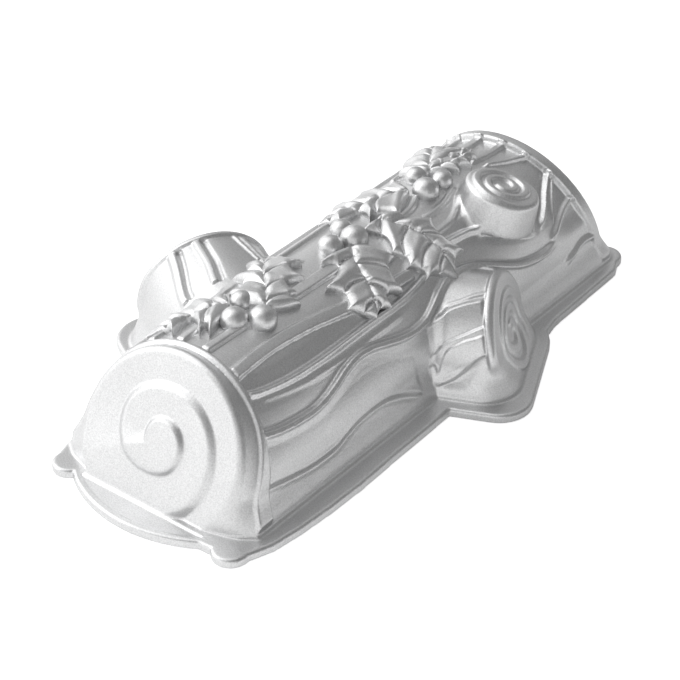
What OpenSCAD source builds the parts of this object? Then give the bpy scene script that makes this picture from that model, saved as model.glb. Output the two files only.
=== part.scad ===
// Yule log cake pan, standing upside down on its rim.
// One thin-walled aluminium casting, drawn as the named regions that it is made of.
// Millimetres, Z up. X runs across the log, Y runs along it from the swirl end to the rear end.
// The outside of the casting carries the log, and the hollow under it is the cake's mould.

/* [Log] */
// length of the log at its foot, from the swirl disc to the rear wall
log_length = 303; // [285:1:320]
// radius of the bark, without the ridges on it
log_radius = 50.5; // [48:0.5:52]
// height of the log's axis above the table
axis_height = 16; // [14:0.5:18]
// thickness of the cast wall
wall = 3; // [2.6:0.1:3.4]
// draft of the side walls, so that the cake slides out
draft = 5; // [3:0.5:7]
// lean of the rear wall, and of both collars
end_lean = 16.5; // [12:0.5:18]
// radius of the fillet where the walls meet the rim
foot_fillet = 5.5; // [4:0.5:6.5]

/* [Rim] */
// thickness of the flat rim
rim_thickness = 4.6; // [4:0.1:5.5]
// width of the rim along the sides of the log
rim_width = 6.5; // [5:0.5:9]
// width of the rim around the right branch
right_rim = 8; // [6:0.5:10]
// width of the rim around the left branch
left_rim = 5; // [4:0.5:8]
// radius of the rounded lobes at the four corners
lobe_radius = 9; // [7:0.5:11]
// reach of the bowed tab past each end wall
tab_reach = 18; // [16:0.5:21]
// depth of the plain crescent plate in the front tab
plate_depth = 0.8; // [0.4:0.1:1.5]

/* [Swirl end] */
// radius of the round end disc
disc_radius = 44.8; // [43:0.2:46]
// height of the disc's centre
disc_height = 29; // [28:0.2:30]
// lean of the disc, which is more than the collar's, so that the stub narrows to the top
disc_lean = 24; // [21:0.5:25]
// length of the stub between the disc and the front collar, at the rim
stub_length = 17; // [16:0.5:20]
// how far the fillet reaches out at the disc's foot
front_fillet = 2.5; // [1.5:0.5:4]
// height of each step of the swirl
swirl_step = 2.4; // [1.6:0.1:2.8]

/* [Collars and bark] */
// height of the collars above the bark
collar_height = 1.6; // [1:0.1:2.4]
// width of the front collar
front_collar_width = 3; // [2:0.5:5]
// width of the rear collar
rear_collar_width = 8; // [6:0.5:11]
// width of the collars at the branch ends
end_collar_width = 7; // [5:0.5:9]
// height of the bark ridges
ridge_height = 1.5; // [1:0.1:2]

/* [Branches] */
// outer radius of the right branch
right_radius = 33; // [30:0.5:34]
// height of the right branch's axis
right_height = 16.5; // [15:0.5:18]
// reach of the right branch from the middle of the log
right_reach = 77.6; // [74:0.2:82]
// turn of the right branch towards the rear
right_turn = 24; // [18:0.5:28]
// place along the log where the right branch starts
right_root = 161.4; // [156:0.2:168]
// outer radius of the left branch
left_radius = 33; // [30:0.5:34]
// height of the left branch's axis
left_height = 29; // [26:0.5:30]
// reach of the left branch from the middle of the log
left_reach = 90.4; // [86:0.2:94]
// turn of the left branch towards the rear
left_turn = 29; // [24:0.5:32]
// place along the log where the left branch starts
left_root = 83.4; // [80:0.2:88]
// lean of the branch end faces
branch_lean = 15.5; // [12:0.5:18]

/* [Top knot] */
// place of the knot along the log
knot_place = 234; // [230:0.5:240]
// turn of the knot from the top of the log to its right side
knot_turn = 29; // [26:0.5:32]
// radius of the knot's top face
knot_radius = 17.5; // [15:0.5:18]
// height of the knot's top face above the bark
knot_height = 12; // [9:0.5:13]

/* [Holly] */
// height of the leaves above the bark
leaf_height = 3.2; // [2.4:0.1:4]
// length of the longest leaf
leaf_length = 50; // [44:1:54]
// half the width of the widest leaf, over its spines
leaf_half = 15; // [13:0.5:16]
// radius of the berries
berry_radius = 5.8; // [5:0.1:6.2]

/* [Hidden] */
$fn = 64;
facets = 44;
lean = tan(end_lean);
d_lean = tan(disc_lean);
b_lean = tan(branch_lean);
t = rim_thickness;
fillet_top = t + foot_fillet;
// the fillet is two slopes, which meet this far up and in
slope_in = foot_fillet * 0.3;
// half width of an arch wall at height z, for radius r and axis height zc
function wall_x(r, zc, z) = (r - (z - zc) * sin(draft)) / cos(draft);
log_foot = wall_x(log_radius, axis_height, fillet_top) + foot_fillet;
corner = 15;
// radius of the rounded edge where the hollow opens at the table
mouth = 4;
branch_mouth = 3.6;
tab_radius = 70;
tab_half = 37;
lobe_x = log_foot - 6;
lobe_y = -1.5;
// middle of the whole casting, so that the frame's origin is the middle of its footprint
right_half = wall_x(right_radius, right_height, t);
left_half = wall_x(left_radius, left_height, t);
right_foot = right_half + foot_fillet;
left_foot = left_half + foot_fillet;
b_round = 9;
lip = 0.2;
b_corner = b_round + foot_fillet;
// ends of the rim across the log, at the near corners of the branches
right_edge = (right_reach + foot_fillet - b_corner) * cos(right_turn)
    + (right_foot - b_corner) * sin(right_turn) + b_corner + right_rim;
left_edge = (left_reach + foot_fillet - b_corner) * cos(left_turn)
    + (left_foot - b_corner) * sin(left_turn) + b_corner + left_rim;
mid_x = (right_edge - left_edge) / 2;
mid_y = log_length / 2;

// Outlines

function arc(cx, cy, r, a0, a1, n) = [for (i = [0 : n]) let (a = a0 + (a1 - a0) * i / n)
    [cx + r * cos(a), cy + r * sin(a)]];
function mirror_x(pts) = [for (i = [len(pts) - 1 : -1 : 0]) [-pts[i][0], pts[i][1]]];
function both(pts) = concat(pts, mirror_x(pts));

// Cross-section of a log or branch: round top, drafted walls, fillet onto the rim.
// d is 0 for the outer form and -wall for the mould's hollow.
module section(r, zc, d, m = mouth) {
    rr = r + d;
    xf = wall_x(r, zc, fillet_top);
    low = d == 0
        ? [[xf + foot_fillet, 0], [xf + foot_fillet, t], [xf + slope_in, t + slope_in], [xf, fillet_top]]
        : arc(xf + d + m, m, m, 270, 180, 4);
    polygon(both(concat(low, arc(0, zc, rr, draft, 90, facets / 2))));
}

// Side view of an end wall: leans inwards and flares onto the rim. len is the foot place.
module end_side(back, len, slope, d, m = mouth) {
    high = 100;
    n = d / cos(atan(slope));
    low = d == 0
        ? [[len + foot_fillet, 0], [len + foot_fillet, t], [len + slope_in, t + slope_in],
            [len - slope * foot_fillet, fillet_top]]
        : arc(len + n + m, m, m, 270, 180, 4);
    polygon(concat([[back, 0]], low, [[len + n - slope * (high - t), high], [back, high]]));
}

function rounded(x0, x1, y0, y1, r) = concat(arc(x1 - r, y0 + r, r, -90, 0, 8),
    arc(x1 - r, y1 - r, r, 0, 90, 8), arc(x0 + r, y1 - r, r, 90, 180, 8),
    arc(x0 + r, y0 + r, r, 180, 270, 8));

function log_plan(d) = rounded(-log_foot - d, log_foot + d, -foot_fillet - d,
    log_length + foot_fillet + d, corner + d);
function branch_plan(reach, half, out) = rounded(-30, reach + out, -half - out, half + out,
    b_round + out);

// Solid forms

// the collar plane, where the swirl end meets the log
module behind_collar(shift = 0) {
    translate([-150, 0, 0]) rotate([90, 0, 90]) linear_extrude(300)
        polygon([[stub_length + shift, 0], [stub_length + shift, t],
            [stub_length + shift + lean * (100 - t), 100], [500, 100], [500, 0]]);
}

// the log's form between its front and rear walls; the hollow runs on into the swirl end
module log_form(d) {
    intersection() {
        rotate([90, 0, 180]) translate([0, 0, -60]) linear_extrude(log_length + 200)
            section(log_radius, axis_height, d);
        translate([-150, 0, 0]) rotate([90, 0, 90]) linear_extrude(300)
            end_side(-40, log_length, lean, d);
        translate([0, 0, -1]) linear_extrude(120) polygon(log_plan(d < 0 ? d + mouth - foot_fillet : 0));
    }
}

module on_disc() {
    translate([0, d_lean * (disc_height - t), disc_height]) rotate([90 - disc_lean, 0, 0]) children();
}

// half width of the disc at height z
function disc_x(z) = sqrt(pow(disc_radius, 2) - pow((z - disc_height) / cos(disc_lean), 2));

// outline of the swirl end at height z: narrow at the disc, as wide as the log behind. It is
// grown by front at the disc and by out at the log
function stub_half(z, out, front) = let (y0 = d_lean * (z - t), x0 = disc_x(z),
        y1 = lean * (z - t) + stub_length, x1 = wall_x(log_radius, axis_height, fillet_top),
        turn = atan2(x1 + out - x0 - front, y1 - y0))
    concat(arc(x0, y0, front, -90, -turn, 6), [[x1 + out, y1], [x1 + out, y1 + 12]]);
function stub_plan(z, out, front) = both(stub_half(z, out, front));

// the fillet around the swirl end's foot
module stub_foot() {
    mid = t + slope_in;
    linear_extrude(t) polygon(stub_plan(t, foot_fillet, front_fillet));
    hull() {
        translate([0, 0, t - 0.01]) linear_extrude(0.01)
            polygon(stub_plan(t, foot_fillet, front_fillet));
        translate([0, 0, mid]) linear_extrude(0.01)
            polygon(stub_plan(mid, slope_in, front_fillet * 0.25));
    }
    hull() {
        translate([0, 0, mid]) linear_extrude(0.01)
            polygon(stub_plan(mid, slope_in, front_fillet * 0.25));
        translate([0, 0, fillet_top]) linear_extrude(0.01) polygon(stub_plan(fillet_top, 0.01, 0.01));
    }
}

// the rounded mouth of the hollow under the swirl end
module stub_mouth() {
    hull() {
        translate([0, 0, -1]) linear_extrude(1) polygon(stub_plan(t, mouth - wall, mouth - wall));
        translate([0, 0, mouth]) linear_extrude(0.01) polygon(stub_plan(t, -wall, -wall));
    }
}

// the loft from the round disc back to the log's arch at the collar
module stub_form(d) {
    shift = d < 0 ? 1 : 0;
    intersection() {
        hull() {
            on_disc() translate([0, 0, d - 0.01]) cylinder(r = disc_radius + d, h = 0.01, $fn = 72);
            intersection() {
                rotate([90, 0, 180]) translate([0, 0, -10]) linear_extrude(80)
                    polygon(both(concat([[wall_x(log_radius + d, axis_height, 0), 0]],
                        arc(0, axis_height, log_radius + d, draft, 90, facets / 2))));
                difference() {
                    behind_collar(shift - 0.01);
                    behind_collar(shift);
                }
            }
        }
        translate([-100, -60, 0]) cube([200, 200, 120]);
    }
}

module on_branch(root, turn, side) {
    translate([0, root, 0]) mirror([side < 0 ? 1 : 0, 0, 0]) rotate([0, 0, turn]) children();
}

// the fillet around a branch's foot, in two slopes; it starts a hair above the log's own
module branch_foot(reach, half) {
    linear_extrude(t + lip) polygon(branch_plan(reach, half, foot_fillet));
    mid = slope_in;
    hull() {
        translate([0, 0, t + lip - 0.01]) linear_extrude(0.01)
            polygon(branch_plan(reach, half, foot_fillet));
        translate([0, 0, t + mid]) linear_extrude(0.01) polygon(branch_plan(reach, half, mid));
    }
    hull() {
        translate([0, 0, t + mid]) linear_extrude(0.01) polygon(branch_plan(reach, half, mid));
        translate([0, 0, fillet_top]) linear_extrude(0.01)
            polygon(branch_plan(reach - b_lean * foot_fillet, half - 1, 0));
    }
}

// d as in section; half is the half width of the walls at the rim
module branch_form(r, zc, reach, half, d) {
    flare = d < 0 ? d + branch_mouth : 0;
    intersection() {
        rotate([90, 0, 90]) linear_extrude(reach + 60) {
            if (d < 0) section(r, zc, d, branch_mouth);
            else polygon(both(concat([[half, 0], [half, t]], arc(0, zc, r + d, draft, 90, facets / 2))));
        }
        translate([0, 150, 0]) rotate([90, 0, 0]) linear_extrude(300) {
            if (d < 0) end_side(-20, reach, b_lean, d, branch_mouth);
            else polygon([[-20, 0], [reach, 0], [reach, t], [reach - b_lean * (100 - t), 100],
                [-20, 100]]);
        }
        translate([0, 0, -1]) linear_extrude(120) polygon(branch_plan(reach, half, flare));
    }
    if (d == 0) branch_foot(reach, half);
}

module right_form(d) {
    on_branch(right_root, right_turn, 1)
        branch_form(right_radius, right_height, right_reach, right_half, d);
}
module left_form(d) {
    on_branch(left_root, left_turn, -1)
        branch_form(left_radius, left_height, left_reach, left_half, d);
}

// a frame on the bark: local X across, local Y along the log, local Z outwards
module on_bark(place, turn, up = 0) {
    translate([0, place, axis_height]) rotate([0, turn, 0]) translate([0, 0, up]) children();
}

module knot_form(d) {
    on_bark(knot_place, knot_turn, log_radius - 14)
        cylinder(r1 = knot_radius + 3.4 + d, r2 = knot_radius + d, h = 14 + knot_height + d, $fn = 56);
}

// a band of the log's surface between the bark and a raised form
module raised(height) {
    intersection() {
        children();
        difference() {
            log_bark(height);
            log_bark(0);
        }
    }
}

// the bark without its foot fillet, so that raised bands lie on the round and the walls
module log_bark(d) {
    rotate([90, 0, 180]) translate([0, 0, -10]) linear_extrude(log_length + 20)
        polygon(both(concat([[wall_x(log_radius + d, axis_height, fillet_top), fillet_top]],
            arc(0, axis_height, log_radius + d, draft, 90, facets / 2))));
}

// everything behind the inner plane of the rear wall
module behind_rear() {
    n = wall / cos(end_lean);
    translate([-150, 0, 0]) rotate([90, 0, 90]) linear_extrude(300)
        polygon([[log_length - n, -1], [log_length - n, t],
            [log_length - n - lean * (100 - t), 100], [500, 100], [500, -1]]);
}

// a leaning slab along the log between two places, for the collars
module leaning_slab(from, to, slope) {
    translate([-150, 0, 0]) rotate([90, 0, 90]) linear_extrude(300)
        polygon([[from, t], [from + slope * (100 - t), 100], [to + slope * (100 - t), 100], [to, t]]);
}

// Holly

// one side of a leaf: spines and hollows in turn, as shares of its length and half width
leaf_side = [[0.04, 0.16], [0.12, 0.3], [0.2, 0.95], [0.3, 0.52], [0.38, 0.55], [0.5, 1], [0.58, 0.5],
    [0.66, 0.48], [0.78, 0.74], [0.84, 0.3], [0.92, 0.16]];
module leaf_outline(length, half) {
    polygon(concat([[0, 0]], [for (p = leaf_side) [p[1] * half, p[0] * length]], [[0, length]],
        [for (i = [len(leaf_side) - 1 : -1 : 0]) [-leaf_side[i][1] * half, leaf_side[i][0] * length]]));
}

// place as a share of the log's length, turn from the top, heading from the rear, and shares of
// the longest length and the widest half width; the third and fourth leaf have their own outlines
leaves = [[0.198, -9, 139, 0.56, 0.93], [0.26, -5, 18, 1, 1], [0.465, 10, -110, 0.76, 1],
    [0.563, 6, -88, 1, 1], [0.64, -6, 151, 0.72, 0.93], [0.733, -17, 42, 0.72, 0.8],
    [0.756, -7, -6, 0.52, 0.6]];
// outlines in shares of the longest length: across from the log's top, and along from the leaf's place
third_leaf = [[-0.1, 0.05], [-0.17, 0], [-0.18, -0.2], [-0.14, -0.37], [-0.08, -0.33], [-0.05, -0.26],
    [0.02, -0.34], [0.05, -0.54], [0.1, -0.61], [0.16, -0.56], [0.23, -0.52], [0.3, -0.6],
    [0.37, -0.59], [0.46, -0.5], [0.52, -0.44], [0.61, -0.4], [0.53, -0.31], [0.56, -0.24],
    [0.61, -0.16], [0.52, -0.12], [0.54, 0.06], [0.46, 0.11], [0.36, 0.13], [0.26, 0.18],
    [0.28, 0.28], [0.16, 0.27], [0, 0.2], [-0.05, 0.13]];
fourth_leaf = [[-0.14, -0.01], [-0.14, -0.1], [-0.12, -0.21], [0.05, -0.19], [0.15, -0.21],
    [0.26, -0.27], [0.36, -0.23], [0.43, -0.24], [0.54, -0.17], [0.66, -0.16], [0.69, -0.07],
    [0.75, 0.08], [0.8, 0.12], [0.89, 0.18], [0.79, 0.22], [0.7, 0.26], [0.68, 0.34], [0.65, 0.46],
    [0.49, 0.4], [0.37, 0.38], [0.2, 0.44], [0.08, 0.32], [-0.02, 0.26], [-0.14, 0.18]];
module leaf_prism(i, inset = 0) {
    l = leaves[i];
    if (i == 2 || i == 3) {
        on_bark(l[0] * log_length, l[1]) translate([0, 0, log_radius - 12]) linear_extrude(30)
            translate(inset > 0 ? leaf_length * [0.2 - l[1] / 60, 0] : [0, 0])
                scale(inset > 0 ? 0.7 : 1) translate(inset > 0 ? leaf_length * [-0.2 + l[1] / 60, 0] : [0, 0])
                    translate([-log_radius * sin(l[1]), 0])
                        polygon(leaf_length * (i == 2 ? third_leaf : fourth_leaf));
    } else {
        on_bark(l[0] * log_length, l[1]) rotate([0, 0, l[2]])
            translate([0, inset * 2.6, log_radius - 12]) linear_extrude(30)
                leaf_outline(l[3] * leaf_length - inset * 3.6, l[4] * leaf_half - inset);
    }
}

// the leaf's mid rib, a groove from base to tip
module leaf_vein(i) {
    l = leaves[i];
    on_bark(l[0] * log_length, l[1], log_radius + leaf_height) rotate([0, 0, l[2]]) translate([0, 2, 0])
        rotate([-90, 0, 0]) cylinder(r = 1, h = (l[3] - 0.12) * leaf_length, $fn = 16);
}

// berries: place as a share of the log's length, turn from the top, share of the berry radius
front_berries = [[0.191, 2, 0.95], [0.226, 11, 1], [0.234, -2, 0.9]];
middle_berries = [[0.479, 4.5, 1], [0.442, -1, 0.95], [0.495, -7, 0.85]];
rear_berries = [[0.673, 4, 1.15], [0.696, -8, 0.9], [0.723, 3.5, 0.95]];
module berries(list, inner) {
    for (b = list) on_bark(b[0] * log_length, b[1], log_radius + (inner ? -0.5 : 1.6))
        sphere(r = inner ? 3.9 : berry_radius * b[2], $fn = 36);
}
module all_berries(inner) {
    berries(front_berries, inner);
    berries(middle_berries, inner);
    berries(rear_berries, inner);
}

// the hollow behind a leaf, so that the cake shows it too
module imprint(i) {
    intersection() {
        leaf_prism(i, 3);
        rotate([90, 0, 180]) linear_extrude(log_length)
            polygon(both(concat([[log_radius - 0.7, 0]], arc(0, axis_height, log_radius - 0.7, 0, 90,
                facets / 2))));
    }
}

module leaf(i) {
    difference() {
        intersection() {
            raised(leaf_height) leaf_prism(i);
            behind_collar();
        }
        leaf_vein(i);
        if (i < 2) berries(front_berries, false);
        if (i == 2 || i == 3) berries(middle_berries, false);
        if (i > 3) berries(rear_berries, false);
        if (i == 4) leaf_prism(3);
        if (i == 6) leaf_prism(5);
        if (i == 1) left_form(0);
        if (i == 3) right_form(0);
    }
}

// Swirls

// the big swirl of the end disc: its edge at each sixth of a turn, in shares of the disc's radius,
// wound to the right from its inner end
swirl_line = [0.11, 0.163, 0.26, 0.355, 0.377, 0.36, 0.442, 0.562, 0.605, 0.696, 0.792, 0.85];
swirl_mid = disc_radius * [-0.033, 0.051];
swirl_start = -152;
// how much the slopes of the steps draw in, and the turn that each soft ramp takes
swirl_taper = 0.87;
ramp_turn = 60;
function swirl_r(a) = let (k = a / 60, i = min(max(floor(k), 0), 10), f = k - i, b = swirl_line[i],
        c = swirl_line[i + 1], p = i > 0 ? swirl_line[i - 1] : 2 * b - c,
        d = i < 10 ? swirl_line[i + 2] : 2 * c - b)
    disc_radius * (b + f * ((c - p) + f * ((2 * p - 5 * b + 4 * c - d) + f * (3 * b - p - 3 * c + d))) / 2);
function swirl_at(a, r) = r * [cos(swirl_start - a), sin(swirl_start - a)];

// the soft ramp that winds down from a step, over ramp_turn, between two edges of the swirl
module swirl_ramp(in, out) {
    n = 6;
    h = [for (i = [0 : n]) swirl_step * (1 - 0.97 * i / n)];
    m = n + 1;
    pts = concat([for (p = in) [p[0], p[1], 0]], [for (p = out) [p[0], p[1], 0]],
        [for (i = [0 : n]) [in[i][0], in[i][1], h[i]]], [for (i = [0 : n]) [out[i][0], out[i][1], h[i]]]);
    polyhedron(points = pts, faces = concat(
        [for (i = [0 : n - 1]) [i, i + 1, m + i + 1]], [for (i = [0 : n - 1]) [i, m + i + 1, m + i]],
        [for (i = [0 : n - 1]) [2 * m + i, 3 * m + i + 1, 2 * m + i + 1]],
        [for (i = [0 : n - 1]) [2 * m + i, 3 * m + i, 3 * m + i + 1]],
        [for (i = [0 : n - 1]) [i, 2 * m + i + 1, i + 1]],
        [for (i = [0 : n - 1]) [i, 2 * m + i, 2 * m + i + 1]],
        [for (i = [0 : n - 1]) [m + i, m + i + 1, 3 * m + i + 1]],
        [for (i = [0 : n - 1]) [m + i, 3 * m + i + 1, 3 * m + i]],
        [[0, m, 3 * m], [0, 3 * m, 2 * m], [n, 2 * m + n, 3 * m + n], [n, 3 * m + n, m + n]]));
}
ramp_turns = [for (i = [0 : 6]) i * ramp_turn / 6];

// a raised spiral ridge for the knot and the branch ends
module spiral_ridge(r0, r1, turns, width, height) {
    last = turns * 360;
    ang = [for (a = [0 : 18 : last]) a];
    linear_extrude(height) polygon(concat(
        [for (a = ang) (r0 + (r1 - r0) * a / last + width / 2) * [cos(a), sin(a)]],
        [for (i = [len(ang) - 1 : -1 : 0]) let (a = ang[i])
            (r0 + (r1 - r0) * a / last - width / 2) * [cos(a), sin(a)]]));
}

module on_branch_end(root, turn, side, reach, up) {
    on_branch(root, turn, side) translate([reach - b_lean * (up - t), 0, up])
        rotate([90 - branch_lean, 0, 90]) children();
}

// Bark

// the middle line of a ridge is pairs: share of the log's length, and turn from the top of the log
function turn_x(p, turn) = log_radius * sin(p[1] - turn);

// a long ridge on the round of the bark, which is drawn as seen along turn
module bark_ridge(turn, width, line) {
    n = len(line) - 1;
    translate([0, 0, axis_height]) rotate([0, turn, 0]) translate([0, 0, log_radius - 12])
        linear_extrude(30) polygon(concat(
            [for (p = line) [turn_x(p, turn) + width / 2, p[0] * log_length]],
            [for (i = [n : -1 : 0]) [turn_x(line[i], turn) - width / 2, line[i][0] * log_length]]));
}

// a wave low on a side wall, which is drawn as seen from the side
module wall_wave(side, width, line) {
    n = len(line) - 1;
    h = [for (p = line) axis_height + log_radius * cos(p[1])];
    rotate([90, 0, 90]) translate([0, 0, side > 0 ? log_radius * 0.4 : -log_radius * 1.6])
        linear_extrude(log_radius * 1.2) polygon(concat(
            [for (i = [0 : n]) [line[i][0] * log_length, h[i] + width / 2]],
            [for (i = [n : -1 : 0]) [line[i][0] * log_length, h[i] - width / 2]]));
}

// a rib along a branch; its line is pairs: share of the branch's reach, and turn from its top
// towards the swirl end
module branch_rib(r, zc, reach, turn, width, line) {
    n = len(line) - 1;
    mid = [for (p = line) [p[0] * reach, r * sin(p[1] - turn)]];
    intersection() {
        translate([0, 0, zc]) rotate([turn, 0, 0]) translate([0, 0, r - 8]) linear_extrude(20)
            polygon(concat([for (p = mid) [p[0], -p[1] + width / 2]],
                [for (i = [n : -1 : 0]) [mid[i][0], -mid[i][1] - width / 2]]));
        rotate([90, 0, 90]) linear_extrude(reach + 20) difference() {
            polygon(both(concat([[wall_x(r + ridge_height, zc, 0), 0]],
                arc(0, zc, r + ridge_height, draft, 90, facets / 2))));
            polygon(both(concat([[wall_x(r, zc, t), 0], [wall_x(r, zc, t), t]],
                arc(0, zc, r, draft, 90, facets / 2))));
        }
        translate([0, 0, fillet_top]) translate([-20, -80, 0]) cube([reach + 30, 160, 80]);
    }
}

// Named regions

// a branch's outline as seen from above, where it lies outside the log's own line at side_x;
// out is how far it lies outside the branch's walls
function turned(p, root, turn) = [p[0] * cos(turn) - p[1] * sin(turn),
    root + p[0] * sin(turn) + p[1] * cos(turn)];
function clipped(pts, x) = [for (i = [0 : len(pts) - 2]) let (a = pts[i], b = pts[i + 1])
    each concat(a[0] > x ? [a] : [],
        (a[0] > x) != (b[0] > x) ? [a + (b - a) * (x - a[0]) / (b[0] - a[0])] : [])];
function branch_bump(side_x, reach, half, root, turn, out) = let (r = b_round + out, hw = half + out,
        e = reach + out)
    clipped([for (p = concat([[-30, -hw]], arc(e - r, -hw + r, r, -90, 0, 8),
        arc(e - r, hw - r, r, 0, 90, 8), [[-30, hw]])) turned(p, root, turn)], side_x);
function right_bump(side_x, out) = branch_bump(side_x, right_reach, right_half, right_root, right_turn, out);
function left_bump(side_x, out) = mirror_x(branch_bump(side_x, left_reach, left_half, left_root,
    left_turn, out));

// the rim's outer outline: lobes at the corners, a bowed tab at each end, bumps round the branches
rim_x = log_foot + rim_width;
half_front = concat([for (i = [0 : 10]) let (x = tab_half * i / 10)
        [x, -tab_reach + tab_radius - sqrt(tab_radius * tab_radius - x * x)]],
    arc(lobe_x, lobe_y, lobe_radius, -142, 8, 10), [[rim_x, lobe_y + lobe_radius]]);
function to_rear(pts) = [for (i = [len(pts) - 1 : -1 : 0]) [pts[i][0], log_length - pts[i][1]]];
function but_first(pts) = [for (i = [1 : len(pts) - 1]) pts[i]];
rim_outline = concat(half_front, right_bump(rim_x, foot_fillet + right_rim), to_rear(half_front),
    but_first(mirror_x(to_rear(but_first(half_front)))), left_bump(rim_x, foot_fillet + left_rim),
    mirror_x(but_first(half_front)));

// the line of the walls' foot, inside the rim
half_stub = [for (p = stub_half(t, foot_fillet, front_fillet)) if (p[1] < stub_length + 1) p];
half_rear = concat([[log_foot, log_length - corner]],
    but_first(arc(log_foot - corner, log_length + foot_fillet - corner, corner, 0, 90, 8)));
foot_outline = concat(half_stub, right_bump(log_foot, foot_fillet), half_rear, mirror_x(half_rear),
    left_bump(log_foot, foot_fillet), mirror_x(half_stub));

// the plain crescent plate in the front tab
module crescent() {
    difference() {
        translate([0, -tab_reach + 3.2 + tab_radius, t - plate_depth])
            cylinder(r = tab_radius, h = 2, $fn = 180);
        translate([-100, -foot_fillet - 1, 0]) cube([200, 300, 20]);
    }
}

module rim_flange() {
    color("silver") difference() {
        linear_extrude(t) difference() {
            polygon(rim_outline);
            polygon(foot_outline);
        }
        crescent();
    }
}

// everything that is cut through the bark from the mould's side
module hollows() {
    log_form(-wall);
    right_form(-wall);
    left_form(-wall);
    knot_form(-wall);
    all_berries(true);
}

module log_shell() {
    color("silver") difference() {
        intersection() {
            log_form(0);
            behind_collar();
        }
        hollows();
        behind_rear();
        for (i = [0 : 6]) imprint(i);
    }
}

module rear_wall() {
    color("silver") difference() {
        intersection() {
            log_form(0);
            behind_rear();
        }
        log_form(-wall);
    }
}

module swirl_end() {
    color("silver") difference() {
        union() {
            stub_form(0);
            stub_foot();
        }
        behind_collar();
        stub_form(-wall);
        stub_mouth();
    }
}

// one step of the swirl: a plate with sloping edges, and the ramp that winds down from its end
module swirl_plate(points, up) {
    difference() {
        on_disc() intersection() {
            translate([swirl_mid[0], swirl_mid[1], up]) union() {
                linear_extrude(swirl_step, scale = swirl_taper) polygon(points);
                children();
            }
            translate([0, 0, up - 1]) cylinder(r = disc_radius - 0.8, h = swirl_step + 2, $fn = 72);
        }
        stub_foot();
        translate([-100, -60, -60]) cube([200, 100, 60 + t]);
    }
}

module swirl_lower_step() {
    color("silver") swirl_plate(concat([for (a = [360 : 10 : 650]) swirl_at(a, swirl_r(a))],
            [swirl_at(0, 75)]), 0)
        swirl_ramp([for (a = ramp_turns) swirl_at(a - 1, swirl_taper * swirl_r(a + 359) - 1)],
            [for (a = ramp_turns) swirl_at(a - 1, 75)]);
}

module swirl_upper_step() {
    color("silver") swirl_plate([for (a = [0 : 10 : 360]) swirl_at(a, swirl_r(a))], swirl_step)
        swirl_ramp([for (a = ramp_turns) swirl_at(a - 1, swirl_taper * swirl_r(max(a - 1, 0)) - 1)],
            [for (a = ramp_turns) swirl_at(a - 1, swirl_taper * swirl_r(a + 359) - 0.2)]);
}

module front_collar() {
    color("silver") intersection() {
        difference() {
            log_bark(collar_height);
            log_bark(0);
        }
        difference() {
            leaning_slab(stub_length, stub_length + front_collar_width, lean);
            leaf_prism(0);
        }
    }
}

module rear_collar() {
    color("silver") intersection() {
        difference() {
            log_bark(collar_height);
            log_bark(0);
        }
        leaning_slab(log_length - rear_collar_width, log_length, -lean);
    }
}

module right_branch() {
    color("silver") difference() {
        right_form(0);
        right_form(-wall);
        log_form(0);
    }
}

module left_branch() {
    color("silver") difference() {
        left_form(0);
        left_form(-wall);
        log_form(0);
    }
}

module right_branch_swirl() {
    color("silver") difference() {
        on_branch_end(right_root, right_turn, 1, right_reach, right_height + 6)
            spiral_ridge(3, 20, 2.6, 2.4, 1.4);
        right_form(0);
    }
}

module left_branch_swirl() {
    color("silver") difference() {
        on_branch_end(left_root, left_turn, -1, left_reach, left_height + 6)
            spiral_ridge(3, 21, 2.6, 2.4, 1.4);
        left_form(0);
    }
}

module top_knot() {
    color("silver") difference() {
        knot_form(0);
        knot_form(-wall);
        log_form(0);
    }
}

module top_knot_swirl() {
    color("silver") on_bark(knot_place, knot_turn, log_radius + knot_height)
        spiral_ridge(2.5, knot_radius - 3, 2.8, 2.2, 1.2);
}

// the bark between the two collars
module between_collars() {
    front = stub_length + front_collar_width;
    rear = log_length - rear_collar_width;
    translate([-150, 0, 0]) rotate([90, 0, 90]) linear_extrude(300)
        polygon([[front, t], [front + lean * (100 - t), 100], [rear - lean * (100 - t), 100], [rear, t]]);
}

module clear_of_holly() {
    difference() {
        children();
        for (i = [0 : 6]) leaf_prism(i);
        all_berries(false);
        knot_form(0);
        right_form(0);
        left_form(0);
    }
}

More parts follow.
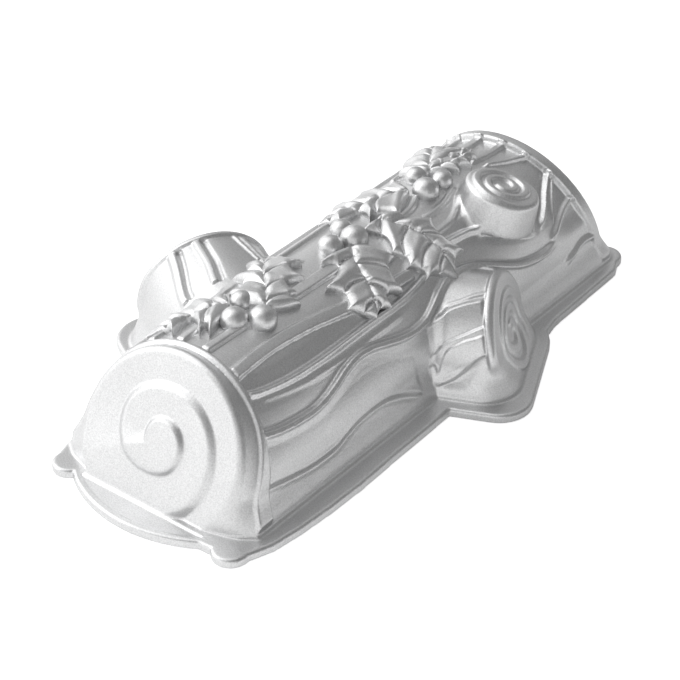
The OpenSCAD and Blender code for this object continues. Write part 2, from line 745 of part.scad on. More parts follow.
module bark_ridges_top() {
    color("silver") clear_of_holly() intersection() {
        raised(ridge_height) {
            // left of the holly
            bark_ridge(-12, 4.8, [[0.06, -11.3], [0.2, -11.8], [0.42, -13.3]]);
            bark_ridge(-32, 4.5, [[0.06, -30], [0.2, -31], [0.44, -28], [0.64, -30]]);
            bark_ridge(-47, 3, [[0.06, -45], [0.17, -49], [0.3, -44], [0.44, -47], [0.6, -43], [0.77, -48],
                [0.99, -40]]);
            // between the holly and the right side
            bark_ridge(6, 5, [[0.06, 4.1], [0.2, 4.6], [0.32, 6.6], [0.41, 7.3], [0.5, 9]]);
            bark_ridge(28, 5.8, [[0.06, 25.6], [0.13, 24.7], [0.2, 23.6], [0.27, 24.7], [0.33, 27.9],
                [0.4, 31.1], [0.45, 33.7], [0.53, 35.4]]);
            bark_ridge(40, 3, [[0.06, 28.3], [0.117, 36.6], [0.15, 39.8], [0.2, 42.2], [0.25, 43.1],
                [0.35, 43.1], [0.45, 43.2], [0.5, 42.4], [0.545, 39.5]]);
            bark_ridge(60, 3.4, [[0.06, 52.8], [0.11, 58.2], [0.15, 61.1], [0.2, 62.7], [0.23, 62],
                [0.265, 59.3], [0.3, 55.7], [0.33, 53.6], [0.363, 54.1], [0.4, 56.8], [0.43, 59.5],
                [0.46, 60.9], [0.495, 59.8], [0.52, 56.2], [0.55, 51.7], [0.575, 49], [0.61, 48.3],
                [0.65, 52], [0.69, 58.8], [0.725, 64], [0.76, 68.1], [0.81, 70.8], [0.86, 69.7]]);
            bark_ridge(42, 2.8, [[0.555, 32.6], [0.61, 32.1], [0.66, 33.5], [0.685, 34.8], [0.71, 38.9],
                [0.735, 43.8], [0.76, 49], [0.79, 54.1], [0.815, 56.2]]);
            bark_ridge(20, 2.2, [[0.56, 27], [0.62, 25.2], [0.665, 24], [0.7, 19.8], [0.73, 13.5]]);
            // behind the knot
            bark_ridge(1, 4.2, [[0.81, 0.5], [0.865, 0.8], [0.99, 1.2]]);
            bark_ridge(-16, 6, [[0.81, -15.3], [0.865, -15.6], [0.99, -16.3]]);
            bark_ridge(-32, 4, [[0.71, -30], [0.8, -31.5], [0.99, -33.5]]);
            bark_ridge(15, 3, [[0.825, 7.3], [0.85, 10.3], [0.885, 13.5], [0.99, 24.6]]);
            bark_ridge(42, 3, [[0.822, 57.7], [0.835, 55.6], [0.86, 50], [0.885, 42.7], [0.91, 36.2],
                [0.96, 25.8], [0.99, 23]]);
            bark_ridge(58, 3, [[0.84, 67.4], [0.855, 65.2], [0.875, 61.8], [0.91, 56.2], [0.99, 49]]);
        }
        between_collars();
    }
}

module bark_waves_right() {
    color("silver") clear_of_holly() intersection() {
        raised(ridge_height) {
            wall_wave(1, 3.6, [[0.06, 78.6], [0.095, 82], [0.13, 84.6], [0.18, 87.1], [0.23, 87.3],
                [0.265, 85], [0.3, 82.7], [0.33, 82.1], [0.363, 82.9], [0.4, 85.9], [0.43, 90.4],
                [0.46, 95]]);
            wall_wave(1, 3, [[0.82, 93], [0.865, 87], [0.9, 84.3], [0.93, 80.9], [0.99, 83.1]]);
        }
        between_collars();
    }
}

module bark_waves_left() {
    color("silver") clear_of_holly() intersection() {
        raised(ridge_height) {
            wall_wave(-1, 3.4, [[0.06, 62], [0.13, 66], [0.24, 61], [0.5, 64], [0.63, 58], [0.76, 65],
                [0.89, 61], [0.99, 64]]);
            wall_wave(-1, 3.6, [[0.06, 82], [0.12, 86], [0.2, 82], [0.46, 89], [0.56, 83], [0.7, 88],
                [0.83, 82], [0.99, 88]]);
        }
        between_collars();
    }
}

module branch_bark(r, zc, reach, ribs) {
    for (rib = ribs) branch_rib(r, zc, reach, rib[0], rib[1], rib[2]);
    // collar along the end
    intersection() {
        rotate([90, 0, 90]) linear_extrude(reach + 20) difference() {
            polygon(both(concat([[wall_x(r + collar_height, zc, fillet_top), fillet_top]],
                arc(0, zc, r + collar_height, draft, 90, facets / 2))));
            polygon(both(concat([[wall_x(r, zc, t), t]], arc(0, zc, r, draft, 90, facets / 2))));
        }
        translate([0, 150, 0]) rotate([90, 0, 0]) linear_extrude(300)
            polygon([[reach - end_collar_width, t], [reach, t], [reach - b_lean * (100 - t), 100],
                [reach - end_collar_width - b_lean * (100 - t), 100]]);
        translate([0, 0, -1]) linear_extrude(120)
            polygon(rounded(-30, reach, -r - 6, r + 6, b_round + 1));
    }
}

// ribs: turn that each is seen from, width, and line
right_ribs = [[32, 4.5, [[0.2, 60], [0.44, 48.9], [0.52, 43], [0.59, 35.4], [0.67, 29.5], [0.75, 25.3],
        [0.85, 21]]],
    [58, 4, [[0.3, 92], [0.44, 84], [0.53, 73], [0.59, 64], [0.67, 56.5], [0.77, 49.9], [0.9, 42]]],
    [80, 4, [[0.5, 96], [0.57, 93], [0.645, 88], [0.72, 79], [0.8, 70], [0.88, 63]]],
    [-26, 4, [[0.2, -24], [0.6, -29], [0.85, -24]]],
    [-54, 4, [[0.2, -56], [0.6, -50], [0.9, -56]]]];
left_ribs = [[6, 4.5, [[0.2, 14], [0.55, 7.5], [0.7, 4.2], [0.85, 2]]],
    [32, 4.5, [[0.2, 42], [0.55, 36], [0.7, 31], [0.85, 28]]],
    [62, 4.5, [[0.2, 66], [0.55, 62], [0.75, 58], [0.9, 57]]],
    [-28, 4, [[0.2, -34], [0.6, -25], [0.85, -30]]],
    [-58, 4, [[0.2, -58], [0.6, -54], [0.9, -58]]]];

module right_branch_ribs() {
    color("silver") difference() {
        on_branch(right_root, right_turn, 1)
            branch_bark(right_radius, right_height, right_reach, right_ribs);
        log_bark(ridge_height);
        right_form(0);
    }
}

module left_branch_ribs() {
    color("silver") difference() {
        on_branch(left_root, left_turn, -1)
            branch_bark(left_radius, left_height, left_reach, left_ribs);
        log_bark(ridge_height);
        left_form(0);
    }
}

module holly_leaf_1() { color("silver") leaf(0); }
module holly_leaf_2() { color("silver") leaf(1); }
module holly_leaf_3() { color("silver") leaf(2); }
module holly_leaf_4() { color("silver") leaf(3); }
module holly_leaf_5() { color("silver") leaf(4); }
module holly_leaf_6() { color("silver") leaf(5); }
module holly_leaf_7() { color("silver") leaf(6); }

module berry_group(list) {
    color("silver") difference() {
        berries(list, false);
        log_form(0);
        berries(list, true);
    }
}
module holly_berries_front() { berry_group(front_berries); }
module holly_berries_middle() { berry_group(middle_berries); }
module holly_berries_rear() { berry_group(rear_berries); }

// the frame's origin is the middle of the footprint, on the table
module in_place() { translate([-mid_x, -mid_y, 0]) children(); }

in_place() rim_flange();
in_place() log_shell();
in_place() swirl_end();
in_place() swirl_lower_step();
in_place() swirl_upper_step();
in_place() front_collar();
in_place() rear_collar();
in_place() rear_wall();
in_place() right_branch();
in_place() right_branch_swirl();
in_place() left_branch();
in_place() left_branch_swirl();
in_place() top_knot();
in_place() top_knot_swirl();
in_place() bark_ridges_top();
in_place() bark_waves_right();
in_place() bark_waves_left();
in_place() right_branch_ribs();
in_place() left_branch_ribs();
in_place() holly_leaf_1();
in_place() holly_leaf_2();
in_place() holly_leaf_3();
in_place() holly_leaf_4();
in_place() holly_leaf_5();
in_place() holly_leaf_6();
in_place() holly_leaf_7();
in_place() holly_berries_front();
in_place() holly_berries_middle();
in_place() holly_berries_rear();
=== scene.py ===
import math

import bpy
import numpy as np
from mathutils import Matrix, Vector


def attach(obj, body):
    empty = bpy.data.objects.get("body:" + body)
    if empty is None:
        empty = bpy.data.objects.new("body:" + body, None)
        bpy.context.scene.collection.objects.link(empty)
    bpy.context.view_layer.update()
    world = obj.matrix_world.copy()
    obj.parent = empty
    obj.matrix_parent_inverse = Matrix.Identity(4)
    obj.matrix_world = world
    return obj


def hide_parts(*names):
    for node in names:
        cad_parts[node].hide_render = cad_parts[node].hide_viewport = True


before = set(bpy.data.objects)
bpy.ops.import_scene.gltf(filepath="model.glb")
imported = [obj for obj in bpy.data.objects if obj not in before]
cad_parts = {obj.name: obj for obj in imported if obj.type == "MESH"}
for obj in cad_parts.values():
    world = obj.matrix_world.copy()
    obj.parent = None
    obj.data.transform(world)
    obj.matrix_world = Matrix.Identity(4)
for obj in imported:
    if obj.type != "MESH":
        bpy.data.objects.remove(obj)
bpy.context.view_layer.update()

# Sizes in millimetres, in the log's own frame: x across, y along from the swirl end, z up
LENGTH, RADIUS, AXIS_Z, WALL = 303.0, 50.5, 16.0, 3.0
# The rim's thickness, and the fillet at the foot of the walls
RIM, FILLET = 4.6, 5.5
# The walls' draft, then the leans of the log's ends, the branch ends and the front disc
DRAFT = math.radians(5)
DRAFT_SIN, DRAFT_COS = math.sin(DRAFT), math.cos(DRAFT)
LEAN = math.radians(16.5)
LEAN_TAN, LEAN_COS = math.tan(LEAN), math.cos(LEAN)
B_LEAN = math.radians(15.5)
B_LEAN_TAN, B_LEAN_COS = math.tan(B_LEAN), math.cos(B_LEAN)
D_LEAN = math.radians(24)
D_LEAN_TAN, D_LEAN_COS, D_LEAN_SIN = math.tan(D_LEAN), math.cos(D_LEAN), math.sin(D_LEAN)
# The front disc: radius, height of its middle, length of the stub behind it, and a step of its swirl
DISC_R, DISC_Z, STUB, STEP = 44.7, 29.0, 17.0, 2.5
# Each branch: radius, height of its axis, reach, turn, root along the log and side, then the rim round
# its foot: width, and how much sharper its near corner and rounder its far one are than the foot's
RIGHT = dict(r=33.0, zc=16.5, reach=77.6, turn=math.radians(24), root=161.4, side=1,
             rim=6.7, near=3.5, back=6.0)
LEFT = dict(r=33.0, zc=29.0, reach=90.4, turn=math.radians(29), root=83.4, side=-1,
            rim=5.0, near=0.0, back=0.0)
F32 = np.float32
TINY, FAR = 1e-9, 1e9


def wall_x(r, zc, z):
    """Half the width of an arched body at a height."""
    return (r - (z - zc) * DRAFT_SIN) / DRAFT_COS


LOG_FOOT = wall_x(RADIUS, AXIS_Z, RIM + FILLET) + FILLET
# Radius of a branch's corners seen from above, and the same at its foot
B_ROUND = 9.0
B_CORNER = B_ROUND + FILLET


def across(b, rim):
    """How far a branch's rim reaches from the middle of the log."""
    half = wall_x(b["r"], b["zc"], RIM) + FILLET
    return ((b["reach"] + FILLET - B_CORNER) * math.cos(b["turn"])
            + (half - B_CORNER) * math.sin(b["turn"]) + B_CORNER + rim)


# The solids' own rim widths at the branches set the middle that both models share.
CAD_RIM_RIGHT, CAD_RIM_LEFT = 8.0, 5.0
MID = np.array([(across(RIGHT, CAD_RIM_RIGHT) - across(LEFT, CAD_RIM_LEFT)) / 2, LENGTH / 2, 0.0])


def row(points):
    """Log frame in millimetres to the row frame in metres."""
    return (np.asarray(points, float) - MID) / 1000.0


# Small helpers

def smooth(x, lo=0.0, hi=1.0):
    """From 0 to 1 between lo and hi, level at both ends."""
    t = np.clip((x - lo) / (hi - lo), 0, 1)
    return t * t * (3 - 2 * t)


def curve(points, per=12):
    """Catmull-Rom line through the points."""
    p = np.asarray(points, float)
    p = np.vstack([2 * p[0] - p[1], p, 2 * p[-1] - p[-2]])
    out = []
    t = np.linspace(0, 1, per, endpoint=False)[:, None]
    for i in range(1, len(p) - 2):
        a, b, c, d = p[i - 1], p[i], p[i + 1], p[i + 2]
        out.append(0.5 * ((2 * b) + (c - a) * t + (2 * a - 5 * b + 4 * c - d) * t ** 2
                          + (3 * b - a - 3 * c + d) * t ** 3))
    out.append(p[-2][None])
    return np.vstack(out)


def round_and(a, b, r):
    """What two bodies share, with the edge rounded."""
    return np.minimum(-r, np.maximum(a, b)) + np.hypot(np.maximum(a + r, 0), np.maximum(b + r, 0))


def round_or(a, b, r):
    """Two bodies together, with a fillet where they meet."""
    return np.maximum(r, np.minimum(a, b)) - np.hypot(np.maximum(r - a, 0), np.maximum(r - b, 0))


# Relief that starts nearer the swirl end than this runs on under the collar
UNDER_COLLAR = 24
# Width of the slope at a band's edge
BAND_EDGE = 0.9


class Map:
    """A height map over two surface coordinates, sampled between its cells."""

    def __init__(self, u0, u1, v0, v1, step=0.25):
        self.u0, self.v0, self.step = u0, v0, step
        self.u = np.arange(u0, u1 + step, step)
        self.v = np.arange(v0, v1 + step, step)
        self.up = np.zeros((len(self.u), len(self.v)), F32)
        self.down = np.zeros_like(self.up)

    def stretch(self, lo, hi, ends):
        """The rows between two places, and a fade at both. What starts by the collar runs on under it."""
        if lo <= UNDER_COLLAR:
            lo, ends = self.u0, (0, ends[1])
        rows = (self.u >= lo) & (self.u <= hi)
        u = self.u[rows][:, None]

        def faded(h):
            if ends[0]:
                h = h * smooth((u - lo) / ends[0])
            if ends[1]:
                h = h * smooth((hi - u) / ends[1])
            return h

        return rows, u, faded

    def band(self, left, right, height, ends=(3, 3)):
        """A raised band between two lines, which run along u."""
        lt, rt = curve(left), curve(right)
        rows, u, faded = self.stretch(max(lt[0, 0], rt[0, 0]), min(lt[-1, 0], rt[-1, 0]), ends)
        a = np.interp(u, lt[:, 0], lt[:, 1])
        b = np.interp(u, rt[:, 0], rt[:, 1])
        v = self.v[None]
        h = height * smooth((v - a) / BAND_EDGE, -0.5, 0.5) * smooth((b - v) / BAND_EDGE, -0.5, 0.5)
        self.up[rows] = np.maximum(self.up[rows], faded(h))

    def line(self, points, profile, ends=(3, 3)):
        """A profile, pairs of offset and height, along a line that runs along u."""
        c = curve(points)
        rows, u, faded = self.stretch(c[0, 0], c[-1, 0], ends)
        mid = np.interp(u, c[:, 0], c[:, 1])
        slope = np.gradient(mid[:, 0], self.step)[:, None]
        off = (self.v[None] - mid) / np.sqrt(1 + slope ** 2)
        p = np.asarray(profile, float)
        h = faded(np.interp(off, p[:, 0], p[:, 1], left=0, right=0))
        self.up[rows] = np.maximum(self.up[rows], h)
        self.down[rows] = np.minimum(self.down[rows], h)

    def done(self, gain=1.0):
        """Scales the relief and softens it a little."""
        h = gain * (self.up + self.down)
        for _ in range(2):
            p = np.pad(h, 1, mode="edge")
            h = (p[1:-1, 1:-1] * 4 + p[:-2, 1:-1] + p[2:, 1:-1] + p[1:-1, :-2] + p[1:-1, 2:]) / 8
        self.h = h.astype(F32)
        return self

    def at(self, u, v):
        """The height at each place, blended between four cells."""
        a = np.clip((u - self.u0) / self.step, 0, len(self.u) - 1.001)
        b = np.clip((v - self.v0) / self.step, 0, len(self.v) - 1.001)
        i, j = a.astype(np.int32), b.astype(np.int32)
        a, b = (a - i).astype(F32), (b - j).astype(F32)
        h = self.h
        return ((h[i, j] * (1 - a) + h[i + 1, j] * a) * (1 - b)
                + (h[i, j + 1] * (1 - a) + h[i + 1, j + 1] * a) * b)


# The bark: bands and ridges over place along the log and distance round it from the top
bark = Map(0, 312, -100, 100)
bark.band([(20, -12.5), (60, -13), (85, -14), (125, -14.5)],
          [(20, -8), (60, -8.5), (85, -9), (125, -9)], 1.3)
bark.band([(20, 1.5), (58, 1.6), (80, 1.8), (98, 2.8), (122, 3.2), (150, 5)],
          [(20, 5.8), (58, 6.4), (80, 8), (98, 9.2), (125, 9.8), (150, 11)], 1.3)
bark.band([(20, 20), (37, 19.2), (50, 18.3), (60, 18), (70, 18), (80, 18.7), (90, 20), (100, 21.5),
           (110, 23.3), (116, 24.5), (135, 27), (160, 29)],
          [(20, 25.6), (37, 25), (50, 24.3), (60, 24), (70, 24.3), (80, 25.2), (90, 26.3), (100, 28),
           (110, 29.5), (120, 31), (135, 33), (160, 34)], 1.3)
bark.line([(20, 25.2), (35.5, 32.6), (45, 35.4), (60, 37.6), (75, 38.4), (90, 38.6), (105, 38.4),
           (120, 38.2), (135, 38.5), (150, 37.7), (165, 35.2)],
          [(-9, 0), (-2.4, -0.7), (-1.3, -0.4), (-0.5, 1.1), (0.4, 1.4), (1.4, 1.1), (2.6, 0.2), (8, 0)])
bark.line([(37, 38), (60, 42.5), (80, 44.6), (100, 45.2), (140, 44.6)], [(-3, 0), (0, 0.5), (2, 0)], (6, 6))
bark.line([(20, 47), (33, 51.8), (45, 54.4), (60, 55.8), (70, 55.2), (80, 52.8), (90, 49.6), (100, 47.7),
           (110, 48.2), (120, 50.6), (130, 53), (140, 54.2), (150, 53.2), (158, 50), (166, 46), (174, 43.6),
           (185, 43), (197.5, 46.3), (210, 52.3), (220, 57), (230, 60.6), (245, 63), (262, 62)],
          [(-10, 0), (-3, -0.5), (-1.9, -0.4), (-1.1, 1.0), (-0.3, 1.3), (0.1, 1.0), (0.6, 1.4), (1.3, 1.3),
           (2.4, 0.2), (6, 0)], (3, 14))
bark.line([(18, 70), (29, 73), (40, 75.3), (55, 77.3), (70, 77.5), (80, 75.5), (90, 73.6), (100, 73.1),
           (110, 73.8), (120, 76.4), (130, 80.4), (137, 84)],
          [(-16, 0), (-2, 0.9), (-0.4, 1.1), (0.3, 0.9), (3.4, -0.2), (5, 0)], (4, 4))
bark.line([(168, 29), (185, 28.6), (200, 29.8), (207, 31), (215, 34.6), (222.5, 39), (230, 43.6),
           (240, 48.2), (247, 50)],
          [(-8, 0), (-2.6, -0.6), (-1.6, -0.3), (-0.7, 1.1), (0.6, 1.4), (1.6, 0.9), (2.8, 0)], (4, 8))
bark.line([(170, 24), (188, 22.4), (202, 21.4), (212, 17.6), (221, 12)],
          [(-2, 0), (-0.6, 0.7), (0.6, 0.7), (2, 0)])
bark.line([(186, 12.6), (205, 12.2), (215, 10.2), (225, 6.5)],
          [(-2.4, 0), (-0.8, 1.0), (0.6, 1.1), (2.2, 0)])
bark.line([(172, 4.5), (184, 4), (195, 2.4), (208, -4), (218, -9)],
          [(-3, 0), (-0.8, 1.2), (0.8, 1.2), (2.4, 0)])
bark.line([(160, 56), (167, 53.6), (175, 51.6), (183, 50.8), (192, 51.5)],
          [(-2, 0), (0, 1.0), (2.4, 0)], (5, 6))
# Behind the knot
bark.band([(246, -1.4), (262, -1.3), (290, -1.2)],
          [(246, 2.2), (262, 2.8), (290, 3.4)], 1.3, (4, 0))
bark.band([(246, -16.5), (262, -16.8), (290, -17)],
          [(246, -10.6), (262, -11), (290, -11.8)], 1.3, (4, 0))
bark.band([(250, 5.5), (258, 8), (268, 11), (290, 18.4)],
          [(250, 7.5), (258, 10.4), (265, 13), (290, 21.8)], 1.3, (4, 0))
bark.line([(249, 51.4), (252, 49.5), (260, 44.5), (268, 38), (276, 32.2), (290, 23)],
          [(-4, 0), (-2.2, -0.5), (-1.2, 0.2), (0, 1.5), (1.2, 0.3), (2, 0)], (5, 0))
bark.line([(261, 54), (266, 48), (271, 42.2), (280, 33), (292, 22)], [(-1.4, 0), (0, 0.9), (1.2, 0)], (5, 0))
bark.line([(254, 60), (259, 58), (265, 55), (275, 50), (292, 44.5)],
          [(-2.4, 0), (-0.8, 0.9), (0, 1.4), (1.2, 0.6), (2.2, 0)], (6, 0))
bark.line([(262, 77.5), (272, 75), (281, 72), (296, 74)], [(-3, 0), (0, 1.2), (2.4, 0)], (8, 0))
# The left side, which only other angles show
bark.band([(20, -29), (60, -30), (130, -27), (190, -29)],
          [(20, -25), (60, -25), (130, -23), (190, -25)], 1.3)
bark.line([(18, -41), (50, -44), (90, -40), (130, -42), (180, -39), (230, -43), (296, -36)],
          [(-2.8, 0), (-1, 1.1), (0, 1.4), (1, 1.0), (2.4, 0), (9, 0)], (3, 0))
bark.line([(18, -56), (40, -59), (70, -55), (150, -57), (190, -52), (230, -58), (270, -55), (298, -58)],
          [(-3, 0), (-1.2, 1.1), (0, 1.4), (0.8, 1.1), (2, -0.4), (9, 0)], (3, 0))
bark.line([(18, -74), (36, -77), (60, -74), (140, -79), (170, -74), (210, -78), (250, -73), (298, -78)],
          [(-3.4, 0), (-0.2, 0.9), (0.5, 1.1), (2, 0.9), (14, 0)], (3, 0))
bark.band([(215, -28), (240, -30), (292, -32)], [(215, -25), (240, -26), (292, -27.5)], 1.2)
bark.done(1.7)

# Branch bark: bands and ridges over reach and distance round, positive towards the swirl end
right_bark = Map(20, 90, -60, 62)
right_bark.line([(34, 33), (42, 27), (46, 22.5), (52, 19), (58, 16.5), (64, 14.5), (74, 12.5)],
                [(-3.4, 0), (-1.0, 1.5), (0.2, 2.0), (1.2, 1.5), (13, -0.7), (15.5, -0.9), (16.6, 0)],
                (3, 0))
right_bark.line([(42, 20), (50, 16), (56, 12), (62, 9.5), (74, 7)], [(-1.8, 0), (0, 0.7), (2.2, 0)], (3, 0))
right_bark.line([(34, 50), (41.5, 44), (46, 38.5), (50, 35.5), (56, 32), (62, 28.5), (67, 26.5), (76, 24.5)],
                [(-1.2, 0), (-0.4, 1.4), (0.6, 1.5), (9, 1.2), (12, 1.2), (17, 0)], (0, 0))
right_bark.line([(38, 59), (44, 57), (50, 54), (55, 49.5), (60, 43), (64, 39.5), (69, 37.5), (76, 36)],
                [(-8, 0), (-4, 0.5), (-0.6, 1.2), (0.4, 1.1), (2.0, -0.9), (3.4, -1.0), (8, 0)], (3, 0))
right_bark.line([(30, -14), (50, -17), (74, -14)], [(-2.4, 0), (-0.6, 1.2), (0.8, 1.2), (3, 0)], (0, 0))
right_bark.line([(30, -33), (50, -30), (74, -34)], [(-2.4, 0), (-0.6, 1.2), (0.8, 1.2), (3, 0)], (0, 0))
right_bark.line([(20, -50), (40, -47), (74, -52)], [(-2.4, 0), (-0.6, 1.2), (0.8, 1.2), (3, 0)], (0, 0))
right_bark.done(1.2)
left_bark = Map(20, 100, -60, 62)
left_bark.line([(36, 24.5), (43, 23.6), (56, 20), (65, 18), (73, 16.8), (90, 15.5)],
               [(-2.4, 0), (-1.4, -1.1), (0.2, -1.1), (1.6, 1.3), (4.6, 1.5), (6.6, 0)], (0, 0))
left_bark.line([(34, 10.6), (44, 9), (51, 7.9), (61, 7.5), (72, 7), (90, 6)],
               [(-5.4, 0), (-4.2, -1.0), (-2.6, -1.0), (-1.4, 1.4), (1.2, 1.5), (2.6, 0)], (0, 0))
left_bark.line([(48, -17.4), (52, -16.4), (63.6, -13.5), (75, -11.5), (90, -9.5)],
               [(-2.2, 0), (-0.8, 1.0), (0.2, 1.3), (1.2, 0)], (0, 0))
left_bark.line([(50, -22), (56, -20), (65.3, -17.7), (75, -14.4), (90, -12)],
               [(-3.4, 0), (-0.6, 1.3), (0.4, 1.1), (1.4, 0)], (0, 0))
left_bark.line([(44, -34), (62, -31), (90, -35)], [(-3, 0), (-0.8, 1.3), (0.8, 1.3), (3, 0)], (0, 0))
left_bark.line([(44, -50), (62, -52), (90, -49)], [(-3, 0), (-0.8, 1.3), (0.8, 1.3), (3, 0)], (0, 0))
left_bark.done(1.1)


# The terraced swirl of the end disc. Every 60 degrees of its winding, EDGE is the radius of the step's
# foot and SLOPE the width of its slope
SWIRL_MID = (-1.48, 2.28)
# Degrees: where it starts, how long its ramp is, and how far its last turn goes
SWIRL_START, SWIRL_RAMP, SWIRL_LAST = -152, 75, 290
EDGE = np.array([4.9, 7.3, 11.7, 15.9, 16.9, 16.1, 19.8, 25.2, 27.1, 31.2, 35.5, 38.1])
SLOPE = np.array([1.4, 3.0, 2.2, 2.8, 2.6, 3.6, 4.4, 3.9, 3.6, 3.6, 4.4, 4.4])
TURNS = curve(np.stack([np.arange(12) * 60.0, EDGE, SLOPE], 1))


def swirl_height(u, v):
    """Three levels. Each crossing of the spiral goes down a step, and a ramp joins its start to the top."""
    du, dv = u - SWIRL_MID[0], v - SWIRL_MID[1]
    r = np.hypot(du, dv)
    a = np.mod(SWIRL_START - np.degrees(np.arctan2(dv, du)), 360)
    ground = 2.0 - (1 - (1 - np.clip(a / SWIRL_RAMP, 0, 1)) ** 2)

    def step(a, r):
        edge = np.interp(a, TURNS[:, 0], TURNS[:, 1])
        wide = np.interp(a, TURNS[:, 0], TURNS[:, 2])
        p = np.clip((edge - r) / wide, 0, 1)
        return p * p * (3 - 2 * p) * 0.35 + p * (2 - p) * 0.65

    h = ground + (2.0 - ground) * step(a, r)
    outer = np.where(a < SWIRL_LAST, step(a + 360, r), 1.0)
    return STEP * (h - (1 - outer))


disc_map = Map(-60, 60, -60, 60, 0.3)
uu, vv = np.meshgrid(disc_map.u, disc_map.v, indexing="ij")
disc_map.up = swirl_height(uu, vv).astype(F32)
disc_map.done()


# Width of the slope on each side of a spiral ridge
SPIRAL_EDGE = 1.3


def spiral_map(r0, r1, turns, width, height, start):
    """A spiral ridge on a flat face, from its first radius and its start in degrees outwards."""
    m = Map(-32, 32, -32, 32)
    u, v = np.meshgrid(m.u, m.v, indexing="ij")
    r, a = np.hypot(u, v), np.arctan2(v, u) - math.radians(start)
    pitch = (r1 - r0) / turns
    k = np.round((r - r0) / pitch - a / (2 * math.pi))
    turn = k + a / (2 * math.pi)
    off = r - (r0 + pitch * turn)
    h = height * smooth((width / 2 - np.abs(off)) / SPIRAL_EDGE)
    m.up = (h * smooth(turn, 0.0, 0.12) * smooth(turns - turn, 0.0, 0.3)).astype(F32)
    return m.done()


knot_map = spiral_map(2.6, 16.4, 2.4, 4.9, 1.7, 200)
branch_map = spiral_map(3.0, 22.0, 2.6, 6.0, 1.1, 40)


# The casting as a distance field

# Log ends: the collar behind the disc, which starts further forward at its foot, and the rear ring with a
# gutter before it. Heights first, then places from the end's edge
COLLAR_UP, COLLAR_WIDE, COLLAR_FOOT = 1.7, 2.3, 6.6
RING_UP, RING_WIDE = 1.6, 7.4
GUTTER_DEEP, GUTTER_LONG, GUTTER_ROUND = 2.0, 40, 66
DISC_EDGE, REAR_EDGE = 3.2, 4.0


def arch(x, z, r, zc):
    """Distance to a round top on two drafted walls, and the distance round it from the top."""
    ax, dz = np.abs(x), z - zc
    wall = ax * DRAFT_COS + dz * DRAFT_SIN
    phi = np.arctan2(dz, ax)
    top = phi > DRAFT
    d = np.where(top, np.hypot(ax, dz), wall) - r
    down = r * (math.pi / 2 - DRAFT) + ax * DRAFT_SIN - dz * DRAFT_COS
    s = np.where(top, r * (math.pi / 2 - phi), down)
    return d.astype(F32), (np.sign(x) * s).astype(F32)


def above_foot(z):
    """From 0 to 1 as the wall rises out of the fillet at its foot."""
    return smooth(z, RIM + FILLET - 1, RIM + FILLET + 3)


def log_field(x, y, z):
    """The log with its disc, collar, ring and gutter, solid."""
    yd = y - D_LEAN_TAN * (z - RIM)
    yf = y - STUB - LEAN_TAN * (z - RIM)
    yr = LENGTH - y - LEAN_TAN * (z - RIM)
    yc = yf + COLLAR_FOOT * (1 - smooth(z, 12, 52))
    plain, s = arch(x, z, RADIUS, AXIS_Z)
    low = above_foot(z)
    h = bark.at(y, s) * smooth(yf, 2.6, 3.3) * smooth(yr, 7.6, 8.6) * low
    collar = COLLAR_UP * smooth(yc, -0.4, 0.6) * (1 - smooth(yf, COLLAR_WIDE, COLLAR_WIDE + 0.9))
    ring = RING_UP * (1 - smooth(yr, RING_WIDE, RING_WIDE + 2.2))
    gutter = -GUTTER_DEEP * smooth(yr, 8.4, 10.4) * smooth(GUTTER_LONG - yr, 0, 22)
    gutter = gutter * smooth(GUTTER_ROUND - s, 0, 12)
    h = h + (collar + ring) * smooth(z, RIM + 1.5, RIM + FILLET) + gutter * low
    # The stub before the collar runs from the disc's round to the log's arch
    disc = np.hypot(x, (z - DISC_Z) / D_LEAN_COS) - DISC_R
    w = np.clip(yd / (yd - yc), 0, 1)
    d = np.where(yc < -0.4, (1 - w) * disc + w * plain, plain - h)
    v = (z - DISC_Z) * D_LEAN_COS + (y - D_LEAN_TAN * (DISC_Z - RIM)) * D_LEAN_SIN
    d = round_and(d, -yd * D_LEAN_COS - disc_map.at(x, v), DISC_EDGE)
    return round_and(d, -yr * LEAN_COS, REAR_EDGE)


# Branch ends: a ring at the edge, the swirl's height over the axis, and a rounding that grows to the foot
B_RING_UP, B_RING_WIDE = 1.5, 3.2
B_SWIRL_UP = 6
B_EDGE, B_EDGE_FOOT = 2.4, 13


def branch_field(x, y, z, b, relief, end_map):
    """A branch with its bark and its spiral end, solid."""
    x = x * b["side"]
    c, s_ = math.cos(b["turn"]), math.sin(b["turn"])
    px = x * c + (y - b["root"]) * s_
    py = -x * s_ + (y - b["root"]) * c
    d, s = arch(-py, z, b["r"], b["zc"])
    e = (px - b["reach"] + B_LEAN_TAN * (z - RIM)) * B_LEAN_COS
    h = relief.at(px, s) * smooth(-e, 4.2, 5.4) * above_foot(z)
    ring = B_RING_UP * (1 - smooth(-e, B_RING_WIDE, B_RING_WIDE + 2)) * smooth(z, 14, 26)
    face = e - end_map.at(-py * b["side"], (z - (b["zc"] + B_SWIRL_UP)) / B_LEAN_COS)
    edge = B_EDGE + B_EDGE_FOOT * (1 - smooth(z, 2, 30))
    # Each branch starts inside the log, 6 mm behind its root
    return np.maximum(round_and(d - h - ring, face, edge), -6 - px)


